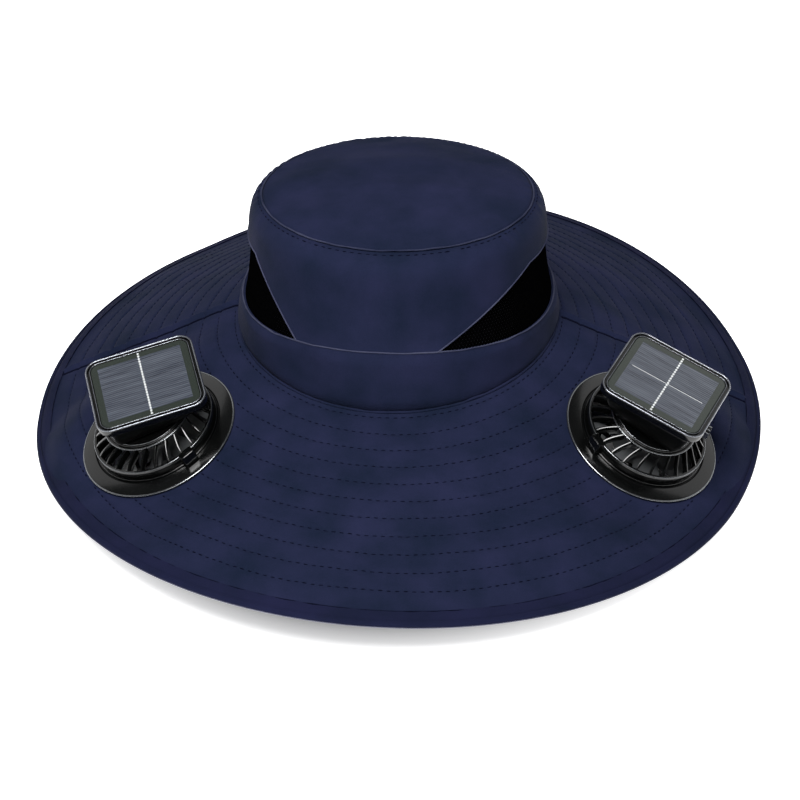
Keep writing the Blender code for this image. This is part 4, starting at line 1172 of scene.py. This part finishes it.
def blades():
    """Blades: an arched thin section whose pitch eases from root to tip, repeated round the hub."""
    run = np.linspace(IMPELLER_HUB - BLADE_SINK, BLADE_RADIUS, 12)
    share = np.linspace(0, 1, 12)
    pitch = ROOT_PITCH + (TIP_PITCH - ROOT_PITCH) * share
    chord = BLADE_CHORD * (CHORD_SHARES[0] + CHORD_SHARES[1] * np.sin(share * math.pi))
    along = np.concatenate([np.linspace(-1, 1, 9), np.linspace(1, -1, 9)])
    face = np.concatenate([np.full(9, -1.0), np.full(9, 1.0)])
    thick = BLADE_THICKNESS / 2 * np.sqrt(BLADE_ENDS - along**2)
    flat = chord[:, None] / 2 * along
    rise = BLADE_CAMBER * (1 - along**2) + face * thick
    cosine, sine = np.cos(pitch)[:, None], np.sin(pitch)[:, None]
    y = flat * cosine - rise * sine
    z = flat * sine + rise * cosine + IMPELLER_TOP - IMPELLER_DEPTH / 2
    x = np.broadcast_to(run[:, None], y.shape)
    shapes = []
    for turn in math.tau * np.arange(BLADES) / BLADES:
        cosine, sine = math.cos(turn), math.sin(turn)
        shapes.append(capped(np.stack([x * cosine - y * sine, x * sine + y * cosine, z], -1)))
    return joined(shapes)


def make_impeller(side):
    name = "impeller_" + side
    parts = [turned(softened(HUB_OUTLINE, radius=0.0005), 72), blades()]
    fan_piece("blades", side, parts, BLADE_PLASTIC, "blade_plastic", body=name, replaces=[name])


for side in FANS:
    make_impeller(side)


# The housings
# Each holds a motor and a small battery. It rises from the cage's hub ring, round at its foot and
# rounded oblong at its head, and leans forward and in to set the panel to the sun.

PANEL_LENGTH, PANEL_WIDTH, PANEL_CORNER, PANEL_THICKNESS = 0.0595, 0.0520, 0.0080, 0.0050
HOUSING_MARGIN, HUB_MARGIN, MOTOR_RADIUS = 0.0045, 0.0012, 0.0115
LEAN_IN, LEAN_FRONT = math.radians(6.3), math.radians(4.3)
PANELS = {
    "left": {"turn": -18.2, "inward": 0.0078, "front": 1.74, "lift": 0.0355},
    "right": {"turn": 3.3, "inward": 0.0046, "front": -1, "lift": 0.0424},
}
OUTLINE_STEPS, SHARPEST_CORNER = 20, 0.0004
HOUSING_SWELL, HOUSING_GROOVE, HOUSING_GROOVE_PLACE, HOUSING_GROOVE_HALF = 2.2, 0.0004, 0.80, 0.022
HOUSING_EDGE, HOUSING_EDGE_REACH = 0.0008, 0.02
SHAFT_CORE, SHAFT_RADIUS, SHAFT_END, SHAFT_SINK = 0.0002, 0.0012, -0.0072, 0.002
MOTOR = oblong(SHAFT_RADIUS, MOTOR_BOTTOM, MOTOR_RADIUS, HUB_HEIGHT + SHAFT_SINK)
SHAFT = oblong(SHAFT_CORE, SHAFT_END, SHAFT_RADIUS, MOTOR_BOTTOM + SHAFT_SINK)
HOUSING_PLASTIC = glossy_plastic("satin_plastic", PLASTIC_BLACK, PLASTIC_WORN, 0.34, shine=0.14)


def panel_place(side):
    """Turn and place of the panel's top face in its fan unit's frame."""
    row = PANELS[side]
    lean = rotation("y", -LEAN_IN) @ rotation("x", -row["front"] * LEAN_FRONT)
    return lean @ rotation("z", math.radians(row["turn"])), np.array([-row["inward"], 0, row["lift"]])


def outline(inset, height):
    """The panel's outline set in by a distance: an arc at each corner, joined by straight sides."""
    corner = max(PANEL_CORNER - inset, SHARPEST_CORNER)
    quarter, step = np.divmod(np.arange(4 * OUTLINE_STEPS), OUTLINE_STEPS)
    angle = (quarter - 1) * QUARTER + QUARTER * step / (OUTLINE_STEPS - 1)
    x_side, y_side = np.array([1, 1, -1, -1])[quarter], np.array([-1, 1, 1, -1])[quarter]
    x = x_side * (PANEL_LENGTH / 2 - inset - corner) + corner * np.cos(angle)
    y = y_side * (PANEL_WIDTH / 2 - inset - corner) + corner * np.sin(angle)
    return np.stack([x, y, np.full_like(x, height)], axis=-1)


def make_housing(side):
    """Rings that go from the hub's circle to the panel's outline, with a groove round the head and
    softened edges, and the motor and its shaft below."""
    matrix, shift = panel_place(side)
    high = outline(HOUSING_MARGIN, -PANEL_THICKNESS - GAP) @ matrix.T + shift
    centre = high.mean(axis=0)
    heading = np.arctan2(high[:, 1] - centre[1], high[:, 0] - centre[0])
    radius = HUB_RADIUS - HUB_MARGIN
    height = np.full_like(heading, HUB_HEIGHT + GAP)
    low = np.stack([radius * np.cos(heading), radius * np.sin(heading), height], -1)
    share = np.linspace(0, 1, 40)[:, None]
    swell = 1 - (1 - share) ** HOUSING_SWELL
    groove = HOUSING_GROOVE * bell(share - HOUSING_GROOVE_PLACE, HOUSING_GROOVE_HALF)
    ends = np.exp(-share / HOUSING_EDGE_REACH) + np.exp(-(1 - share) / HOUSING_EDGE_REACH)
    rows = np.empty((len(share), len(high), 3))
    rows[..., :2] = low[:, :2] * (1 - swell[..., None]) + high[:, :2] * swell[..., None]
    rows[..., 2] = low[:, 2] * (1 - share) + high[:, 2] * share
    middle = rows[..., :2].mean(axis=1, keepdims=True)
    reach = np.linalg.norm(rows[..., :2] - middle, axis=-1, keepdims=True)
    rows[..., :2] -= (rows[..., :2] - middle) * (groove + HOUSING_EDGE * ends)[..., None] / reach
    motor = turned(softened(MOTOR, radius=0.0006), 72)
    shaft = turned(softened(SHAFT, radius=0.0001), 24)
    parts = [capped(rows), motor, shaft]
    fan_piece("housing", side, parts, HOUSING_PLASTIC, replaces=["fan_housing_" + side])


for side in FANS:
    make_housing(side)


# The solar panels
# A shallow black tray with a raised rim and an inner bezel, and a glazed cell let into it. The
# cell has fine silver fingers and a soldered busbar of small pads across it. The right one has a
# thin line along it too, and three ribs under its end. The pale metallic beads round the rim and
# the bezel, and the ribs' pale metallic finish, are painted highlights.

BORDER, CELL_THICKNESS, CELL_MARGIN = 0.0026, 0.0011, 0.0068
FINGER_PITCH, FINGER_SHARE, FINGER_TINT = 0.00130, 0.25, 0.065
GLASS_BORDER = (0.014, 0.019, 0.015)
EDGE_HIGHLIGHT_GREY, EDGE_HIGHLIGHT_PALE = (0.17, 0.18, 0.20), (0.25, 0.26, 0.29)
CELL_BLUE, CELL_GREY = (0.014, 0.018, 0.030), (0.050, 0.058, 0.076)
SILVER = (0.78, 0.80, 0.80)
BUSBAR_WIDTH, BUSBAR_HEIGHT, LINE_WIDTH = 0.0012, 0.00014, 0.00030
PAD_PITCH, PAD_LENGTH, BUSBAR_CORE = 0.0019, 0.0010, 0.00016
RIB_PLACES, RIB_SINK = (-0.0130, -0.0104, -0.0078), 0.0003
RIB_REACH, RIB_OUT, RIB_HALF, RIB_DEPTH = 0.0030, 0.0024, 0.0004, 0.0088
STREAKS = (35.0, 420.0, 1.0)
SOLDER_GREY = (0.62, 0.64, 0.64)
SOLDER_LOOK = {"Roughness": 0.42, "Metallic": 0.35}
CELL_DEPTH = CELL_THICKNESS + 2 * GAP
GLASS_EDGE = BORDER + GAP
TRAY_PROFILE = [
    (0.0030, -PANEL_THICKNESS),
    (0.0006, -PANEL_THICKNESS),
    (0.0, -PANEL_THICKNESS + 0.0006),
    (0.0, -0.0010),
    (0.0003, -0.0004),
    (0.0008, -0.0002),
    (0.0010, -0.0012),
    (0.0021, -0.0012),
    (0.0022, -0.0003),
    (BORDER, -0.0003),
    (BORDER, -CELL_DEPTH),
    (BORDER + 0.0010, -CELL_DEPTH),
]
GLASS_PROFILE = [
    (GLASS_EDGE + 0.002, GAP - CELL_DEPTH),
    (GLASS_EDGE, GAP - CELL_DEPTH),
    (GLASS_EDGE, -0.0006),
    (GLASS_EDGE + 0.0003, -GAP),
    (0.02, -GAP),
]
PANEL_BEADS = ((0.0004, -0.0003, 0.00045), (BORDER - 0.0002, -0.0003, 0.00020))
BUSBAR_LOW, BUSBAR_HIGH = -GAP - 0.0001, -GAP + BUSBAR_HEIGHT
CORE_DROP, LINE_DROP, BUSBAR_SHORT, BAR_TAPER = 0.00005, 0.00007, 0.0004, 0.86


def cell_glass():
    """Glazed cell: a grey-green margin, and within it a blue-grey field crossed by fine fingers."""
    made = Nodes("cell_glass")
    across = made.add("ShaderNodeSeparateXYZ")
    made.link(made.coordinates("UV"), across, "Vector")
    off_x = made.maths("ABSOLUTE", across.outputs["X"])
    off_y = made.maths("ABSOLUTE", across.outputs["Y"])
    in_x = made.maths("LESS_THAN", off_x, PANEL_LENGTH / 2 - CELL_MARGIN)
    in_y = made.maths("LESS_THAN", off_y, PANEL_WIDTH / 2 - CELL_MARGIN)
    field = made.maths("MULTIPLY", in_x, in_y)
    turn = made.maths("FRACT", made.maths("MULTIPLY", across.outputs["Y"], 1 / FINGER_PITCH))
    finger = made.maths("LESS_THAN", turn, FINGER_SHARE)
    streaks = made.noise(1.0, 2.0, made.scaled("UV", STREAKS))
    tint = made.maths("MULTIPLY", finger, FINGER_TINT)
    fingered = made.mix(tint, made.blend(streaks, CELL_BLUE, CELL_GREY), SILVER)
    made.link(made.mix(field, GLASS_BORDER, fingered), made.shader, "Base Color")
    made.link(made.spread(made.noise(90.0), 0.20, 0.30), made.shader, "Roughness")
    made.set(Coat_Weight=0.6, Coat_Roughness=0.06, Specular_IOR_Level=0.5)
    return made.material


CELL_GLASS = cell_glass()
SOLDER = grained("silver_solder", SOLDER_GREY, SILVER, 900.0, 2500.0, 0.00005, 0.4, **SOLDER_LOOK)
PANEL_EDGE_HIGHLIGHT = glossy_plastic("panel_edge_painted_highlight", EDGE_HIGHLIGHT_GREY, EDGE_HIGHLIGHT_PALE, 0.22, 0.8)


def on_panel(side, parts):
    """Parts of a panel's own frame, moved to where it sits in its fan unit."""
    matrix, shift = panel_place(side)
    points, faces = joined(parts)
    return [(points @ matrix.T + shift, faces)]


def outlines(profile):
    """The panel's outline at each inset and height of a profile, closed below and above."""
    return capped(np.stack([outline(inset, height) for inset, height in profile]))


def bar(half_x, half_y, low, high, centre=(0.0, 0.0)):
    """A small flat bar with sloped ends: two rings of four corners, closed above and below."""
    corners = np.array([(1, -1), (1, 1), (-1, 1), (-1, -1)], float) * (half_x, half_y) + centre
    inner = (corners - centre) * BAR_TAPER + centre
    rings = [np.column_stack([corners, np.full(4, low)]), np.column_stack([inner, np.full(4, high)])]
    return capped(np.stack(rings))


def busbar():
    """A thin core across the cell with small pads along it."""
    reach = PANEL_WIDTH / 2 - BORDER - GAP - BUSBAR_SHORT
    core = bar(BUSBAR_CORE, reach, BUSBAR_LOW, BUSBAR_HIGH - CORE_DROP)
    places = np.arange(-reach + PAD_PITCH / 2, reach - PAD_LENGTH / 2, PAD_PITCH)
    size = (BUSBAR_WIDTH / 2, PAD_LENGTH / 2, BUSBAR_LOW, BUSBAR_HIGH)
    return [core, *(bar(*size, (0.0, place)) for place in places)]


def panel_ribs():
    end = PANEL_LENGTH / 2 - RIB_REACH + RIB_OUT
    size = (RIB_REACH, RIB_HALF, -RIB_DEPTH, -PANEL_THICKNESS + RIB_SINK)
    return [bar(*size, (end, place)) for place in RIB_PLACES]


def make_panel(side):
    tray = on_panel(side, [outlines(TRAY_PROFILE)])
    fan_piece("panel_tray", side, tray, sharp=30, replaces=["panel_frame_" + side])
    points, faces = outlines(GLASS_PROFILE)
    look = {"finish": CELL_GLASS, "slot": "solar_glass", "uv": points[:, :2], "sharp": 30}
    glass = on_panel(side, [(points, faces)])
    fan_piece("cell_glass", side, glass, replaces=["solar_cell_" + side], **look)
    bars = busbar()
    if side == "right":
        half_line = PANEL_LENGTH / 2 - CELL_MARGIN
        bars.append(bar(half_line, LINE_WIDTH / 2, BUSBAR_LOW, BUSBAR_HIGH - LINE_DROP))
    fan_piece("busbars", side, on_panel(side, bars), SOLDER, "solar_glass", sharp=30)
    # The beads' pale metallic finish is a painted highlight along the rim and the bezel.
    beads = [tube(outline(inset, height), size) for inset, height, size in PANEL_BEADS]
    fan_piece("panel_beads", side, on_panel(side, beads), PANEL_EDGE_HIGHLIGHT, sharp=80)
    # The ribs' pale metallic finish is a painted highlight.
    if side == "right":
        fan_piece("panel_ribs", side, on_panel(side, panel_ribs()), HIGHLIGHT_BEAD_PLASTIC, sharp=30)


for side in FANS:
    make_panel(side)


# The studio
# A pale table that glows round the hat's edge, painted light that fills the hat's shadow there,
# soft light from above and from both sides, and the camera at the photograph's angle.

CAMERA_TARGET = np.array([0.00279, -0.02540, 0.01686])
CAMERA_AZIMUTH, CAMERA_ELEVATION, CAMERA_ROLL = 5.19, 33.55, -0.57
CAMERA_DISTANCE, CAMERA_LENS = 1.1, 86.5
TABLE_PALE, TABLE_GREY = (0.80, 0.80, 0.80), (0.84, 0.84, 0.84)
SKY = (0.93, 0.96, 1.0)
SKY_STRENGTH = 0.07
SHADOW_FILL_GLOW, SHADOW_FILL_START, SHADOW_FILL_FULL = 0.95, 0.84, 0.98
TABLE_REACH, TABLE_POINTS, TABLE_LEVEL = 4, 9, -0.0002
LIGHTS = {
    "key": {"place": (-0.1, -0.70, 1.45), "size": 0.9, "watts": 41.0},
    "front": {"place": (0.0, -1.7, 0.40), "size": 0.8, "watts": 3.2},
    "left": {"place": (-1.3, 1.1, 0.9), "size": 2.0, "watts": 7.5},
    "right": {"place": (1.3, 1.1, 0.9), "size": 2.0, "watts": 7.5},
}


def make_table():
    rows = np.linspace(-TABLE_REACH, TABLE_REACH, TABLE_POINTS)
    x, y = np.meshgrid(rows, rows)
    points = np.stack([x, y, np.full_like(x, TABLE_LEVEL)], axis=-1).reshape(-1, 3)
    mesh = bpy.data.meshes.new("table")
    mesh.from_pydata(points.tolist(), [], grid_faces(TABLE_POINTS, TABLE_POINTS).tolist())
    made = Nodes("pale_table_painted_fill")
    made.link(made.blend(made.noise(3.0), TABLE_PALE, TABLE_GREY), made.shader, "Base Color")
    made.set(Roughness=0.7, Specular_IOR_Level=0.2, Emission_Color=(1, 1, 1, 1))
    reach = made.add("ShaderNodeVectorMath", operation="LENGTH")
    made.link(made.scaled("Object", (1 / BRIM_HALF_WIDTH, 1 / BRIM_HALF_DEPTH, 0)), reach, 0)
    # The emission starts just inside the brim's outline and grows outwards: painted light that fills
    # the hat's shadow on the table.
    shadow_fill = made.spread(reach.outputs["Value"], 0.0, SHADOW_FILL_GLOW, SHADOW_FILL_START, SHADOW_FILL_FULL)
    made.link(shadow_fill, made.shader, "Emission Strength")
    mesh.materials.append(made.material)
    table = add_object("table", mesh)


def matrix_of(across, up, back, place):
    """The matrix that turns and moves an object to three directions and a place."""
    matrix = np.eye(4)
    matrix[:3, :4] = np.column_stack([across, up, back, place])
    return Matrix(matrix)


def make_lights():
    for name, row in LIGHTS.items():
        light = bpy.data.lights.new(name, "AREA")
        light.shape = "DISK"
        light.size, light.energy = row["size"], row["watts"]
        place = np.array(row["place"])
        back = unit(place)
        across = unit(np.cross([0.0, 1.0, 0.0], back))
        lamp = add_object(name, light)
        lamp.matrix_world = matrix_of(across, np.cross(back, across), back, place)
    world = bpy.data.worlds.new("studio")
    world.use_nodes = True
    background = world.node_tree.nodes["Background"]
    background.inputs["Color"].default_value = (*SKY, 1)
    background.inputs["Strength"].default_value = SKY_STRENGTH
    bpy.context.scene.world = world


def make_camera():
    """The camera looks at its target from an azimuth and an elevation, and is then rolled."""
    azimuth, elevation, roll = np.radians([CAMERA_AZIMUTH, CAMERA_ELEVATION, CAMERA_ROLL])
    level = np.array([math.cos(azimuth), math.sin(azimuth), 0.0])
    back = np.array([math.sin(azimuth), -math.cos(azimuth), 0.0]) * math.cos(elevation)
    back[2] = math.sin(elevation)
    upright = np.cross(back, level)
    across = level * math.cos(roll) + upright * math.sin(roll)
    up = upright * math.cos(roll) - level * math.sin(roll)
    data = bpy.data.cameras.new("camera")
    data.lens = CAMERA_LENS
    data.clip_start = 0.01
    camera = add_object("camera", data)
    camera.matrix_world = matrix_of(across, up, back, CAMERA_TARGET + back * CAMERA_DISTANCE)
    bpy.context.scene.camera = camera


make_table()
make_lights()
make_camera()
bpy.context.scene.view_settings.view_transform = "Standard"
